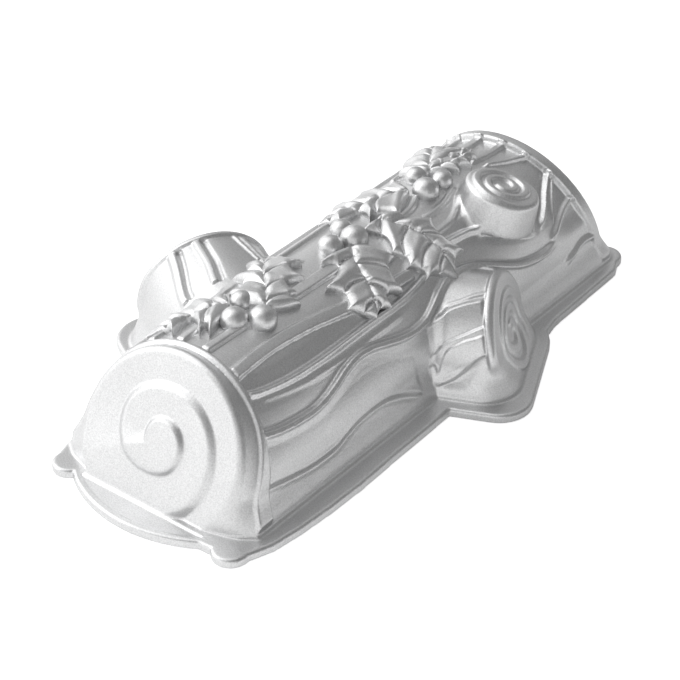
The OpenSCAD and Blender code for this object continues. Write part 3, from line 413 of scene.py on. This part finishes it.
# The sawn knot: middle of its face, directions out of the face and along it, radius, taper and edge.
# It widens down to KNOT_STRAIGHT below its face and ends at KNOT_DEEP
KNOT_C = np.array([30.3, 234.0, 70.6])
KNOT_N = np.array([0.21, 0.20, 1.0])
KNOT_N /= np.linalg.norm(KNOT_N)
KNOT_E1 = np.cross([0, 1.0, 0], KNOT_N)
KNOT_E1 /= np.linalg.norm(KNOT_E1)
KNOT_E2 = np.cross(KNOT_N, KNOT_E1)
KNOT_R, KNOT_TAPER, KNOT_TAPER_COS, KNOT_EDGE = 19.0, 0.12, 0.99, 2.6
KNOT_STRAIGHT, KNOT_DEEP = 16, 18


def knot_field(x, y, z):
    """The sawn knot with its spiral face, solid."""
    dx, dy, dz = x - KNOT_C[0], y - KNOT_C[1], z - KNOT_C[2]
    h = dx * KNOT_N[0] + dy * KNOT_N[1] + dz * KNOT_N[2]
    u = dx * KNOT_E1[0] + dy * KNOT_E1[1] + dz * KNOT_E1[2]
    v = dx * KNOT_E2[0] + dy * KNOT_E2[1] + dz * KNOT_E2[2]
    side = (np.hypot(u, v) - KNOT_R + KNOT_TAPER * np.maximum(h, -KNOT_STRAIGHT)) * KNOT_TAPER_COS
    d = round_and(side, h - knot_map.at(u, v), KNOT_EDGE)
    return np.maximum(d, -KNOT_DEEP - h)


# Fillets where the branches and the knot meet the log
B_FILLET, KNOT_FILLET = 2.2, 3.0


def body_field(x, y, z):
    """Log, branches and knot together, solid."""
    d = log_field(x, y, z)
    d = round_or(d, branch_field(x, y, z, RIGHT, right_bark, branch_map), B_FILLET)
    d = round_or(d, branch_field(x, y, z, LEFT, left_bark, branch_map), B_FILLET)
    return round_or(d, knot_field(x, y, z), KNOT_FILLET)


# The rim's outline

def arc(cx, cy, r, a0, a1, n):
    """Points of an arc round a middle, from one angle to another in degrees."""
    a = np.radians(np.linspace(a0, a1, n + 1))
    return [(cx + r * math.cos(t), cy + r * math.sin(t)) for t in a]


def bump(x_side, b, out):
    """The outline round a branch's foot, so far out from it, where it lies beyond the log's own rim."""
    half = wall_x(b["r"], b["zc"], RIM) + out
    r, e = B_ROUND + out, b["reach"] + out
    near_r, far_r = r - b["near"], r + b["back"]
    pts = ([(-30, -half)] + arc(e - near_r, -half + near_r, near_r, -90, 0, 8)
           + arc(e - far_r, half - far_r, far_r, 0, 90, 8) + [(-30, half)])
    c, s = math.cos(b["turn"]), math.sin(b["turn"])
    pts = [(p * c - q * s, b["root"] + p * s + q * c) for p, q in pts]
    out_pts = []
    for (ax, ay), (bx, by) in zip(pts[:-1], pts[1:]):
        if ax > x_side:
            out_pts.append((ax, ay))
        if (ax > x_side) != (bx > x_side):
            k = (x_side - ax) / (bx - ax)
            out_pts.append((x_side, ay + (by - ay) * k))
    return out_pts


RIM_X = LOG_FOOT + 6.5
# The tab before the disc is an arc, and its panel is sunk by PANEL_DEEP inside a border
TAB_R, TAB_FRONT, TAB_HALF = 70.0, -18.0, 37.0
TAB_Y = TAB_FRONT + TAB_R
PANEL_BORDER, PANEL_DEEP, PANEL_BACK = 3.2, 0.7, -3.0
# The lobes at the corners are alike, but for a smaller one at the front left
plate = [(x, TAB_Y - math.sqrt(TAB_R ** 2 - x * x)) for x in np.linspace(0, TAB_HALF, 11)]
lobe = arc(LOG_FOOT - 6, -1.5, 9, -142, 8, 14)
left_lobe = arc(LOG_FOOT - 9.4, 0.5, 8.4, -142, 8, 14)
rear = [(x, LENGTH - y) for x, y in reversed(plate + lobe + [(RIM_X, 7.5)])]
# Past the lobes the sides bow gently out to the branches
right_front = plate + lobe + [(64.2, 12), (66.4, 28), (67.8, 48), (68.3, 70), (67.6, 92)]
left_front = plate + left_lobe + [(58, 10), (59.6, 22), (61.4, 48)]
right_line = right_front + bump(66.8, RIGHT, FILLET + RIGHT["rim"]) + [(64.6, 236)] + rear
left_line = left_front + bump(62.5, LEFT, FILLET + LEFT["rim"]) + rear
outline = right_line + [(-x, y) for x, y in reversed(left_line)]


def outline_distance(X, Y):
    """Distance to the rim's outline, negative inside."""
    best = np.full(X.shape, FAR, F32)
    within = np.zeros(X.shape, bool)
    n = len(outline)
    for i in range(n):
        ax, ay = outline[i]
        bx, by = outline[(i + 1) % n]
        ex, ey = bx - ax, by - ay
        ll = ex * ex + ey * ey
        if ll < TINY:
            continue
        t = np.clip(((X - ax) * ex + (Y - ay) * ey) / ll, 0, 1)
        best = np.minimum(best, (X - ax - t * ex) ** 2 + (Y - ay - t * ey) ** 2)
        if ay != by:
            cross = ((ay > Y) != (by > Y)) & (X < ex * (Y - ay) / ey + ax)
            within ^= cross
    best = np.sqrt(best)
    return np.where(within, -best, best)


# Shape of the rim and of the wall's foot, which flares at the front corners and along the sides
RIM_ROUND, MOUTH_ROUND = 1.7, 3.6
FLARE, FLARE_TOP = 4.6, 17


def casting_field(x, y, z, rim_d):
    """The body and the rim as one wall, hollow from below."""
    body = body_field(x, y, z)
    panel = np.maximum(np.hypot(x, y - (TAB_Y + PANEL_BORDER)) - TAB_R, y - PANEL_BACK)
    rim = round_and(rim_d, z - RIM + PANEL_DEEP * smooth(-panel, 0, 1.0), RIM_ROUND)
    flare = FLARE * (1 - smooth(z, RIM, RIM + FLARE_TOP)) * smooth(np.abs(x) + 0.5 * y, 36, 54)
    d = round_or(body - flare, rim, 0.9 + 0.9 * smooth(y, 0, 6))
    return np.maximum(d, round_and(-(body + WALL), -z, MOUTH_ROUND))


def surface_nets(f, h, origin):
    """One vertex in each cell that the surface crosses, and a quad across each crossed edge."""
    s = f < 0
    n = np.zeros(tuple(k - 1 for k in f.shape), np.int8)
    for a in (0, 1):
        for b in (0, 1):
            for c in (0, 1):
                n += s[a:a + n.shape[0], b:b + n.shape[1], c:c + n.shape[2]]
    cells = np.argwhere((n > 0) & (n < 8))
    index = np.full(n.shape, -1, np.int32)
    index[cells[:, 0], cells[:, 1], cells[:, 2]] = np.arange(len(cells))
    i, j, k = cells.T
    total = np.zeros((len(cells), 3))
    count = np.zeros(len(cells))
    for axis in range(3):
        for a in (0, 1):
            for b in (0, 1):
                lo = [a, b]
                lo.insert(axis, 0)
                hi = list(lo)
                hi[axis] = 1
                fa = f[i + lo[0], j + lo[1], k + lo[2]].astype(float)
                fb = f[i + hi[0], j + hi[1], k + hi[2]].astype(float)
                m = (fa < 0) != (fb < 0)
                t = fa[m] / (fa[m] - fb[m])
                p = np.tile(np.array(lo, float), (int(m.sum()), 1))
                p[:, axis] = t
                total[m] += p
                count[m] += 1
    verts = (cells + total / count[:, None]) * h + origin
    quads = []
    for axis in range(3):
        o1, o2 = [ax for ax in range(3) if ax != axis]
        sl0 = [slice(1, -1)] * 3
        sl1 = [slice(1, -1)] * 3
        sl0[axis], sl1[axis] = slice(0, -1), slice(1, None)
        a, b = s[tuple(sl0)], s[tuple(sl1)]
        e = np.argwhere(a != b)
        flip = a[e[:, 0], e[:, 1], e[:, 2]]
        e = e + 1
        e[:, axis] -= 1
        q = []
        for d1, d2 in ((1, 1), (0, 1), (0, 0), (1, 0)):
            c = e.copy()
            c[:, o1] -= d1
            c[:, o2] -= d2
            q.append(index[c[:, 0], c[:, 1], c[:, 2]])
        q = np.stack(q, 1)
        if axis == 1:
            flip = ~flip
        q[~flip] = q[~flip][:, ::-1]
        quads.append(q)
    return verts, np.vstack(quads)


def casting(h):
    """The casting's surface. The grid is filled only in blocks that the surface may pass through."""
    lo = np.array([-106.0, -20.0, -1.4])
    hi = np.array([97.5, 323.0, 81.0])
    block, batch = 8, 1500
    # Half a block's diagonal, and room for the relief, which makes the field less than a true distance
    reach = 0.87 * block * h + 3.2
    nb = np.ceil((hi - lo) / h / block).astype(int)
    shape = nb * block + 1
    ax = [(lo[k] + h * np.arange(shape[k])).astype(F32) for k in range(3)]
    X, Y = np.meshgrid(ax[0], ax[1], indexing="ij")
    rim2 = outline_distance(X, Y).astype(F32)
    cx = [(lo[k] + h * block * (np.arange(nb[k]) + 0.5)).astype(F32) for k in range(3)]
    bx, by, bz = np.meshgrid(*cx, indexing="ij")
    mid = [np.minimum((np.arange(nb[k]) + 0.5) * block, shape[k] - 1).astype(int) for k in range(2)]
    rb = np.broadcast_to(rim2[np.ix_(*mid)][:, :, None], bx.shape)
    coarse = casting_field(bx.ravel(), by.ravel(), bz.ravel(), rb.ravel()).reshape(bx.shape)
    f = np.where(coarse < 0, -1, 1).astype(F32)
    for axis in range(3):
        f = np.repeat(f, block, axis)
    f = np.pad(f, ((0, 1), (0, 1), (0, 1)), constant_values=1)
    r = np.arange(block + 1)
    ids = np.argwhere(np.abs(coarse) < reach) * block
    for part in np.array_split(ids, max(1, len(ids) // batch)):
        i = part[:, 0, None, None, None] + r[:, None, None]
        j = part[:, 1, None, None, None] + r[None, :, None]
        k = part[:, 2, None, None, None] + r[None, None, :]
        i, j, k = (a.ravel() for a in np.broadcast_arrays(i, j, k))
        f[i, j, k] = casting_field(ax[0][i], ax[1][j], ax[2][k], rim2[i, j])
    return surface_nets(f, h, lo)


def new_mesh(name, verts, faces):
    """A smooth object from points in the log frame."""
    mesh = bpy.data.meshes.new(name)
    verts = row(verts)
    faces = np.asarray(faces)
    mesh.vertices.add(len(verts))
    mesh.vertices.foreach_set("co", verts.astype(F32).ravel())
    k = faces.shape[1]
    mesh.loops.add(faces.size)
    mesh.loops.foreach_set("vertex_index", faces.astype(np.int32).ravel())
    mesh.polygons.add(len(faces))
    mesh.polygons.foreach_set("loop_start", np.arange(0, faces.size, k, dtype=np.int32))
    mesh.polygons.foreach_set("use_smooth", np.full(len(faces), True))
    mesh.update()
    mesh.validate()
    ob = bpy.data.objects.new(name, mesh)
    bpy.context.scene.collection.objects.link(ob)
    return ob


# Material: satin cast aluminium with a fine sparkle

def aluminium():
    """Fine grain and pits in the finish, over a slight cloud in the colour."""
    metal = bpy.data.materials.new("cast_aluminium")
    metal.use_nodes = True
    tree = metal.node_tree
    nodes, links = tree.nodes, tree.links
    bsdf = nodes["Principled BSDF"]
    bsdf.inputs["Metallic"].default_value = 1.0
    place = nodes.new("ShaderNodeTexCoord")

    def noise(scale, detail, rough=0.5):
        texture = nodes.new("ShaderNodeTexNoise")
        texture.inputs["Scale"].default_value = scale
        texture.inputs["Detail"].default_value = detail
        texture.inputs["Roughness"].default_value = rough
        links.new(place.outputs["Object"], texture.inputs["Vector"])
        return texture

    grain = noise(1500, 2, 0.7)
    pits = noise(620, 3, 0.6)
    cloud = noise(28, 3)
    ramp = nodes.new("ShaderNodeValToRGB")
    ramp.color_ramp.elements[0].position = 0.36
    ramp.color_ramp.elements[0].color = (0.62, 0.622, 0.625, 1)
    ramp.color_ramp.elements[1].position = 0.64
    ramp.color_ramp.elements[1].color = (0.80, 0.802, 0.805, 1)
    share = nodes.new("ShaderNodeMath")
    share.operation = "MULTIPLY"
    share.inputs[1].default_value = 0.2
    links.new(cloud.outputs["Fac"], share.inputs[0])
    mix = nodes.new("ShaderNodeMath")
    mix.operation = "MULTIPLY_ADD"
    mix.inputs[1].default_value = 0.8
    links.new(grain.outputs["Fac"], mix.inputs[0])
    links.new(share.outputs[0], mix.inputs[2])
    links.new(mix.outputs[0], ramp.inputs["Fac"])
    links.new(ramp.outputs["Color"], bsdf.inputs["Base Color"])
    rough = nodes.new("ShaderNodeMapRange")
    rough.inputs["From Min"].default_value = 0.3
    rough.inputs["From Max"].default_value = 0.7
    rough.inputs["To Min"].default_value = 0.30
    rough.inputs["To Max"].default_value = 0.42
    links.new(pits.outputs["Fac"], rough.inputs["Value"])
    links.new(rough.outputs["Result"], bsdf.inputs["Roughness"])

    def relief(source, strength, distance):
        node = nodes.new("ShaderNodeBump")
        node.inputs["Strength"].default_value = strength
        node.inputs["Distance"].default_value = distance
        links.new(source.outputs["Fac"], node.inputs["Height"])
        return node

    fine = relief(grain, 0.6, 0.00016)
    coarse = relief(pits, 0.35, 0.0002)
    links.new(fine.outputs["Normal"], coarse.inputs["Normal"])
    links.new(coarse.outputs["Normal"], bsdf.inputs["Normal"])
    return metal


METAL = aluminium()


def finish_piece(ob, *nodes):
    """The metal, and the CAD nodes that the piece stands for."""
    ob.data.materials.append(METAL)
    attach(ob, "root")
    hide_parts(*nodes)


# Holly, modelled flat over place along the log and distance round it, then laid on the bark

# Radius at which an angle round the bark becomes a distance
LAY_R = 53.0
LEAF_UP, LEAF_SINK, LEAF_EDGE = 6.0, 1.2, 0.5
# Distance over which a pillow rises from its creases, and how far a crease bows for its length
PILLOW, CREASE_BOW = 4.4, 0.12


def on_bark(y, s, up):
    """Lays a place along the log, a distance round it and a height on the bark."""
    th = s / LAY_R
    return np.stack([(RADIUS + up) * np.sin(th), y, AXIS_Z + (RADIUS + up) * np.cos(th)], -1)


def polyline_distance(px, py, pts):
    """Distance to a line, and on which side of its nearest stretch the point lies."""
    best = np.full(np.shape(px), FAR)
    side = np.zeros(np.shape(px))
    for (ax, ay), (bx, by) in zip(pts[:-1], pts[1:]):
        ex, ey = bx - ax, by - ay
        ll = max(ex * ex + ey * ey, TINY)
        t = np.clip(((px - ax) * ex + (py - ay) * ey) / ll, 0, 1)
        d = np.hypot(px - ax - t * ex, py - ay - t * ey)
        side = np.where(d < best, np.sign(ex * (py - ay) - ey * (px - ax)), side)
        best = np.minimum(best, d)
    return best, side


def inside(px, py, pts):
    """Which points lie in a closed outline."""
    hit = np.zeros(px.shape, bool)
    for (ax, ay), (bx, by) in zip(pts, pts[1:] + pts[:1]):
        if ay != by:
            hit ^= ((ay > py) != (by > py)) & (px < (bx - ax) * (py - ay) / (by - ay) + ax)
    return hit


def scallops(points):
    """Arcs from spine to spine, each through the point between them."""
    out = []
    for a, via, b in zip(points[:-2:2], points[1:-1:2], points[2::2]):
        a, via, b = (np.array(q, float) for q in (a, via, b))
        c = 2 * via - (a + b) / 2
        t = np.linspace(0, 1, 9)[:-1, None]
        out += [tuple(q) for q in (1 - t) ** 2 * a + 2 * t * (1 - t) * c + t ** 2 * b]
    return out + [tuple(points[-1])]


def leaf(number, rib, side_a, side_b):
    """Each side runs from base to tip as arc point, spine, arc point, spine and so on. A pillow rises
    along the vein to each spine, and the pillows meet in creases that run in from the arcs."""
    base, tip = rib[0], rib[-1]
    ribc = curve(rib, 10)
    along = np.concatenate([[0], np.cumsum(np.hypot(*np.diff(ribc, axis=0).T))])
    along /= along[-1]

    def on_rib(k):
        return (float(np.interp(k, along, ribc[:, 0])), float(np.interp(k, along, ribc[:, 1])))

    def nearest(p):
        return float(along[np.argmin(np.hypot(ribc[:, 0] - p[0], ribc[:, 1] - p[1]))])

    a = scallops([base] + list(side_a) + [tip])
    b = scallops([base] + list(side_b) + [tip])
    edge = a + b[-2:0:-1]
    veins, creases = [], []
    for side in (side_a, side_b):
        for k, p in enumerate(side):
            near = nearest(p)
            if k % 2:
                veins.append([on_rib(max(near - 0.16, 0.02)), p])
            elif k:
                q = on_rib(max(near - 0.13, 0.04))
                bow = CREASE_BOW if side is side_a else -CREASE_BOW
                m = ((p[0] + q[0]) / 2 + bow * (q[1] - p[1]), (p[1] + q[1]) / 2 - bow * (q[0] - p[0]))
                creases.append(scallops([p, m, q]))
    step = 0.42
    e = np.array(edge)
    lo, hi = e.min(0) - 2 * step, e.max(0) + 2 * step
    gy = np.arange(lo[0], hi[0] + step, step)
    gs = np.arange(lo[1], hi[1] + step, step)
    Y, S = np.meshgrid(gy, gs, indexing="ij")
    d, _ = polyline_distance(Y, S, edge + edge[:1])
    d = np.where(inside(Y, S, edge), d, -d)
    bound = d
    for c in creases:
        far, side = polyline_distance(Y, S, c)
        beyond = side * polyline_distance(tip[0], tip[1], c)[1] > 0
        bound = np.minimum(bound, np.where(beyond, far, 1.5 * far + 0.3))
    vein = np.min([polyline_distance(Y, S, v)[0] for v in veins], 0)
    mid, _ = polyline_distance(Y, S, [tuple(q) for q in ribc])
    # Steep at the creases, round on top, and highest along the veins
    k = np.clip(np.minimum(bound, mid + 0.5) / PILLOW, 0, 1)
    up = LEAF_UP * (0.30 + 0.70 * np.sqrt(k * (2 - k)))
    up *= 0.80 + 0.20 * np.exp(-(vein / 2.8) ** 2)
    gz = np.arange(-LEAF_SINK - 2 * step, LEAF_UP + 2 * step, step)
    Z = gz[None, None]
    f = np.maximum((Z - up[:, :, None]) * 0.8, -(Z + LEAF_SINK))
    f = round_and(f, -d[:, :, None], LEAF_EDGE)
    verts, quads = surface_nets(f, step, np.array([gy[0], gs[0], gz[0]]))
    ob = new_mesh(f"holly_leaf_{number}_cast", on_bark(*verts.T), quads[:, ::-1])
    finish_piece(ob, f"holly_leaf_{number}")


def plain_leaf(number, place, turn, heading, length, half, bend):
    """A leaf by its place, its heading and its size, with three spines on each side."""
    h = math.radians(heading)
    c, s = math.cos(h), math.sin(h)

    def put(v, u):
        u += bend * length * math.sin(math.pi * v / length)
        return (place + u * s + v * c, math.radians(turn) * LAY_R + u * c - v * s)

    side = [(0.05, 0.40), (0.20, 1.0), (0.335, 0.46), (0.5, 1.03), (0.635, 0.42), (0.78, 0.76), (0.89, 0.16)]
    a = [put((v - 0.02) * length, u * half) for v, u in side]
    b = [put((v + 0.02) * length, -u * half) for v, u in side]
    leaf(number, [put(k * length, 0) for k in (0, 0.25, 0.5, 0.75, 1)], a, b)


plain_leaf(7, 232, -8, -6, 27, 9, 0.05)
leaf(1, [(72, -10), (64, -16), (55, -24), (46, -29), (37, -33)],
     [(64, -6), (47.5, -1.5), (52.5, -8.5), (44.8, -5), (56, -21), (41, -18.8), (44.5, -25)],
     [(76, -15.5), (80.5, -19.5), (75, -24), (73, -34), (62, -34), (56, -42), (49, -37)])
leaf(2, [(79.6, 4.9), (84.5, 0.9), (92.9, -6.4), (98.4, -11.6), (106.9, -19.6), (122, -31)],
     [(76.5, -6), (79.5, -17.5), (91, -19), (95.5, -31), (104, -29), (111, -38.5), (115, -35)],
     [(84, 9.8), (94.3, 14.4), (93.6, 8.4), (98, 9), (101.8, -0.8), (109.6, 4), (113.5, -8), (119.5, -6),
      (121, -19)])
leaf(5, [(203.2, -5), (192, -12), (181, -19), (172, -25), (159, -30)],
     [(195, -1.5), (181.2, 4.8), (176.5, -5), (168.3, -3.2), (175.5, -15.5), (161.5, -16.5), (163, -24)],
     [(207, -12), (209.5, -20), (200, -21), (199, -33), (187, -31), (181.5, -38.5), (171, -34)])
leaf(6, [(225.5, -8.3), (231, -13), (237.4, -17.3), (252.5, -27), (262, -32)],
     [(227.5, -4), (231.5, 0.8), (233.5, -6.5), (244, 0.8), (246, -10), (256, -4.5), (255, -18)],
     [(221, -14), (222, -27), (231, -25), (237, -37), (244, -33), (250, -42), (256, -37)])
leaf(3, [(143.5, 4.5), (137, 11), (132.5, 19), (129, 28), (121.3, 41.2)],
     [(134, 0.8), (122.4, 2.0), (127.4, 9.4), (110.9, 14.8), (116.4, 22), (110.2, 29.6), (116.8, 35.4)],
     [(150.5, 9), (155.4, 22.6), (147.2, 25.6), (144.5, 38.4), (136, 34.6), (132.4, 41.6), (127, 38.4)])
leaf(4, [(170, -0.8), (174.5, 8), (178, 18), (180, 30), (179.4, 50.8)],
     [(164.5, -1.4), (159.6, -0.2), (162.4, 9.5), (156.2, 19.5), (160.2, 24.4), (157.6, 29.8), (163, 34),
      (161, 40), (170.5, 41.2)],
     [(177, -1.8), (183.2, 4), (184.6, 10.2), (192.3, 16.4), (188.2, 26.5), (193.8, 39.6), (184.6, 40.4)])


# Berries

# Height of a berry's middle over the bark, how far its skirt goes below it, and its wall
BERRY_UP, BERRY_SINK, BERRY_WALL = 1.6, 1.6, 0.7
OUTER_RINGS, INNER_RINGS, ROUND = 25, 11, 56


def berry(place, turn, radius):
    """A closed thin dome: an outer ball down to below the bark, and an inner ball back up."""
    th = math.radians(turn)
    n = np.array([math.sin(th), 0, math.cos(th)])
    e1 = np.array([math.cos(th), 0, -math.sin(th)])
    e2 = np.array([0, 1.0, 0])
    c = np.array([0, place, AXIS_Z]) + n * (RADIUS + BERRY_UP)
    low = math.acos(max(-0.95, min(0.95, (-BERRY_SINK - BERRY_UP) / radius)))
    lat = np.concatenate([np.linspace(0.0, low, OUTER_RINGS + 1)[1:],
                          np.linspace(low, 0.0, INNER_RINGS + 1)[:-1]])
    rad = np.concatenate([np.full(OUTER_RINGS, radius), np.full(INNER_RINGS, radius - BERRY_WALL)])
    a = np.linspace(0, 2 * math.pi, ROUND, endpoint=False)
    out = e1[None] * np.cos(a)[:, None] + e2[None] * np.sin(a)[:, None]
    rings = [c + n * (r * math.cos(t)) + out * (r * math.sin(t)) for t, r in zip(lat, rad)]
    verts = np.vstack([c + n * radius, *rings, c + n * (radius - BERRY_WALL)])
    faces = []
    last = 1 + (len(rings) - 1) * ROUND
    for j in range(ROUND):
        k = (j + 1) % ROUND
        faces.append((0, 1 + k, 1 + j))
        for p in range(1, last, ROUND):
            q = p + ROUND
            faces.append((p + j, p + k, q + k))
            faces.append((p + j, q + k, q + j))
        faces.append((last + j, last + k, len(verts) - 1))
    return verts, np.array(faces)


def berries(cluster, *items):
    """A cluster as one piece, from the place, turn and radius of each berry."""
    vs, fs, base = [], [], 0
    for place, turn, radius in items:
        v, f = berry(place, turn, radius)
        vs.append(v)
        fs.append(f + base)
        base += len(v)
    ob = new_mesh(f"holly_berries_{cluster}_cast", np.vstack(vs), np.vstack(fs))
    finish_piece(ob, f"holly_berries_{cluster}")


berries("front", (63.4, -0.2, 6.6), (72.7, 9.7, 6.9), (77.8, -8.8, 5.5))
berries("middle", (152.3, -0.3, 6.9), (139.7, -5.6, 6.1), (155.9, -12, 5.7))
berries("rear", (209.7, 0.2, 7.0), (220, -14.8, 5.5), (222.7, 0.9, 5.5))

# The one casting

verts, quads = casting(0.62)
pan = new_mesh("log_pan_casting", verts, quads)
finish_piece(pan, "rim_flange", "log_shell", "swirl_end", "swirl_lower_step", "swirl_upper_step",
             "front_collar", "rear_collar", "rear_wall", "right_branch", "right_branch_swirl",
             "left_branch", "left_branch_swirl", "top_knot", "top_knot_swirl", "bark_ridges_top",
             "bark_waves_right", "bark_waves_left", "right_branch_ribs", "left_branch_ribs")

# Floor, light and camera

# Strengths: the room round the metal, the floor to the camera, and the floor's glow to all other rays, which
# is painted light: painted shade near the log and painted pools of light further out
ROOM = 0.24
FLOOR_WHITE = 0.75
# The floor glow's painted pool of light, and its painted shade
FLOOR_PAINTED_LIGHT, FLOOR_PAINTED_SHADE = 0.46, 0.06
# Soft patches of the room: direction, the cosines where each begins and is full, and strength
PATCHES = [
    ((-0.50, -0.86, 0.04), 0.66, 1.00, 0.83),
    ((-0.50, -0.80, 0.35), 0.00, 1.00, 0.24),
    ((-0.98, 0.05, 0.05), 0.62, 1.00, 0.95),
    ((-0.50, -0.10, 0.86), 0.74, 1.00, 1.10),
    ((0.50, -0.85, 0.05), 0.72, 1.00, 0.60),
    ((0.92, 0.38, 0.05), 0.60, 1.00, 0.06),
    ((-0.45, 0.65, 0.60), 0.60, 1.00, 0.22),
]

# In metres: half the floor's side, and the floor's height
FLOOR_HALF, FLOOR_Z = 3, -0.0004
floor_mesh = bpy.data.meshes.new("floor")
corners = [(x * FLOOR_HALF, y * FLOOR_HALF, 0) for x, y in ((-1, -1), (1, -1), (1, 1), (-1, 1))]
floor_mesh.from_pydata(corners, [], [(0, 1, 2, 3)])
floor = bpy.data.objects.new("floor", floor_mesh)
bpy.context.scene.collection.objects.link(floor)
floor.location.z = FLOOR_Z
floor_paint = bpy.data.materials.new("floor_white")
floor_paint.use_nodes = True
floor_tree = floor_paint.node_tree
bsdf = floor_tree.nodes["Principled BSDF"]
bsdf.inputs["Base Color"].default_value = (0.8, 0.8, 0.8, 1)
bsdf.inputs["Roughness"].default_value = 0.9
bsdf.inputs["Specular IOR Level"].default_value = 0.1
bsdf.inputs["Emission Color"].default_value = (1, 1, 1, 1)
place = floor_tree.nodes.new("ShaderNodeTexCoord")


def painted_floor_pool(direction, lo, hi):
    """Painted light on the floor for the metal's reflections, from painted shade to a painted pool of light,
    growing smoothly along a direction over the floor.
    """
    slope = floor_tree.nodes.new("ShaderNodeVectorMath")
    slope.operation = "DOT_PRODUCT"
    slope.inputs[1].default_value = direction
    ramp = floor_tree.nodes.new("ShaderNodeMapRange")
    ramp.interpolation_type = "SMOOTHSTEP"
    ramp.inputs["From Min"].default_value = lo
    ramp.inputs["From Max"].default_value = hi
    ramp.inputs["To Min"].default_value = FLOOR_PAINTED_SHADE
    ramp.inputs["To Max"].default_value = FLOOR_PAINTED_LIGHT
    floor_tree.links.new(place.outputs["Object"], slope.inputs[0])
    floor_tree.links.new(slope.outputs["Value"], ramp.inputs["Value"])
    return ramp.outputs["Result"]


# For rays other than the camera's, the floor's glow is painted: painted shade by the log's rear and right
# side, and painted pools of light to its front left and front right
painted_pool = floor_tree.nodes.new("ShaderNodeMath")
painted_pool.operation = "MAXIMUM"
floor_tree.links.new(painted_floor_pool((-0.8, -0.6, 0), -0.12, 0.08), painted_pool.inputs[0])
floor_tree.links.new(painted_floor_pool((0.9, -0.43, 0), 0.10, 0.15), painted_pool.inputs[1])
glow = floor_tree.nodes.new("ShaderNodeMapRange")
glow.inputs["To Max"].default_value = FLOOR_WHITE
seen = floor_tree.nodes.new("ShaderNodeLightPath")
floor_tree.links.new(painted_pool.outputs["Value"], glow.inputs["To Min"])
floor_tree.links.new(seen.outputs["Is Camera Ray"], glow.inputs["Value"])
floor_tree.links.new(glow.outputs["Result"], bsdf.inputs["Emission Strength"])
floor_mesh.materials.append(floor_paint)

# The studio: white to the camera, while the metal sees a grey room with soft bright patches
world = bpy.data.worlds.new("studio")
bpy.context.scene.world = world
world.use_nodes = True
world_nodes, world_links = world.node_tree.nodes, world.node_tree.links
way = world_nodes.new("ShaderNodeTexCoord")


def patch(direction, lo, hi, amount):
    """A soft bright patch of the room round a direction."""
    dot = world_nodes.new("ShaderNodeVectorMath")
    dot.operation = "DOT_PRODUCT"
    dot.inputs[1].default_value = Vector(direction).normalized()
    world_links.new(way.outputs["Generated"], dot.inputs[0])
    ramp = world_nodes.new("ShaderNodeMapRange")
    ramp.interpolation_type = "SMOOTHSTEP"
    ramp.inputs["From Min"].default_value = lo
    ramp.inputs["From Max"].default_value = hi
    ramp.inputs["To Max"].default_value = amount
    world_links.new(dot.outputs["Value"], ramp.inputs["Value"])
    return ramp.outputs["Result"]


total = None
for item in PATCHES:
    add = world_nodes.new("ShaderNodeMath")
    add.operation = "ADD"
    add.inputs[1].default_value = ROOM
    world_links.new(patch(*item), add.inputs[0])
    if total is not None:
        world_links.new(total, add.inputs[1])
    total = add.outputs[0]
room_light = world_nodes["Background"]
room_light.inputs["Color"].default_value = (1, 1, 1, 1)
world_links.new(total, room_light.inputs["Strength"])
white = world_nodes.new("ShaderNodeBackground")
white.inputs["Color"].default_value = (1, 1, 1, 1)
white.inputs["Strength"].default_value = 1.0
ray = world_nodes.new("ShaderNodeLightPath")
choice = world_nodes.new("ShaderNodeMixShader")
world_links.new(ray.outputs["Is Camera Ray"], choice.inputs[0])
world_links.new(room_light.outputs[0], choice.inputs[1])
world_links.new(white.outputs[0], choice.inputs[2])
world_links.new(choice.outputs[0], world_nodes["World Output"].inputs["Surface"])


# One large soft lamp from the front left
LAMP_AT, LAMP_TO, LAMP_SIZE, LAMP_POWER = (-0.9, -0.55, 0.75), (0, 0, 0.02), 0.6, 2.5
lamp_data = bpy.data.lights.new("key_left", "AREA")
lamp_data.energy = LAMP_POWER
lamp_data.size = LAMP_SIZE
lamp = bpy.data.objects.new("key_left", lamp_data)
bpy.context.scene.collection.objects.link(lamp)
lamp.location = LAMP_AT
lamp.rotation_mode = "QUATERNION"
lamp.rotation_quaternion = (Vector(LAMP_TO) - Vector(LAMP_AT)).to_track_quat("-Z", "Y")

# The camera, fitted to the photograph: its target in the log frame, its directions in degrees, its
# distance in metres and its focal length in the photograph's pixels
TARGET = (10.75, 127.38, 27.6)
TURN, HEIGHT, ROLL = math.radians(37.5), math.radians(34.5), math.radians(0.5)
DISTANCE = 1.012
FOCAL_PIXELS, PHOTO_SIDE, SENSOR = 2119.9, 680, 36
back = Vector((math.sin(TURN) * math.cos(HEIGHT), -math.cos(TURN) * math.cos(HEIGHT), math.sin(HEIGHT)))
level = Vector((math.cos(TURN), math.sin(TURN), 0))
upright = back.cross(level)
right = math.cos(ROLL) * level + math.sin(ROLL) * upright
up = -math.sin(ROLL) * level + math.cos(ROLL) * upright
cam_data = bpy.data.cameras.new("camera")
cam_data.sensor_width = SENSOR
cam_data.lens = FOCAL_PIXELS / PHOTO_SIDE * SENSOR
cam = bpy.data.objects.new("camera", cam_data)
bpy.context.scene.collection.objects.link(cam)
cam.location = Vector(row(TARGET)) + back * DISTANCE
cam.rotation_mode = "QUATERNION"
cam.rotation_quaternion = Matrix((right, up, back)).transposed().to_quaternion()
bpy.context.scene.camera = cam
bpy.context.scene.view_settings.view_transform = "Standard"
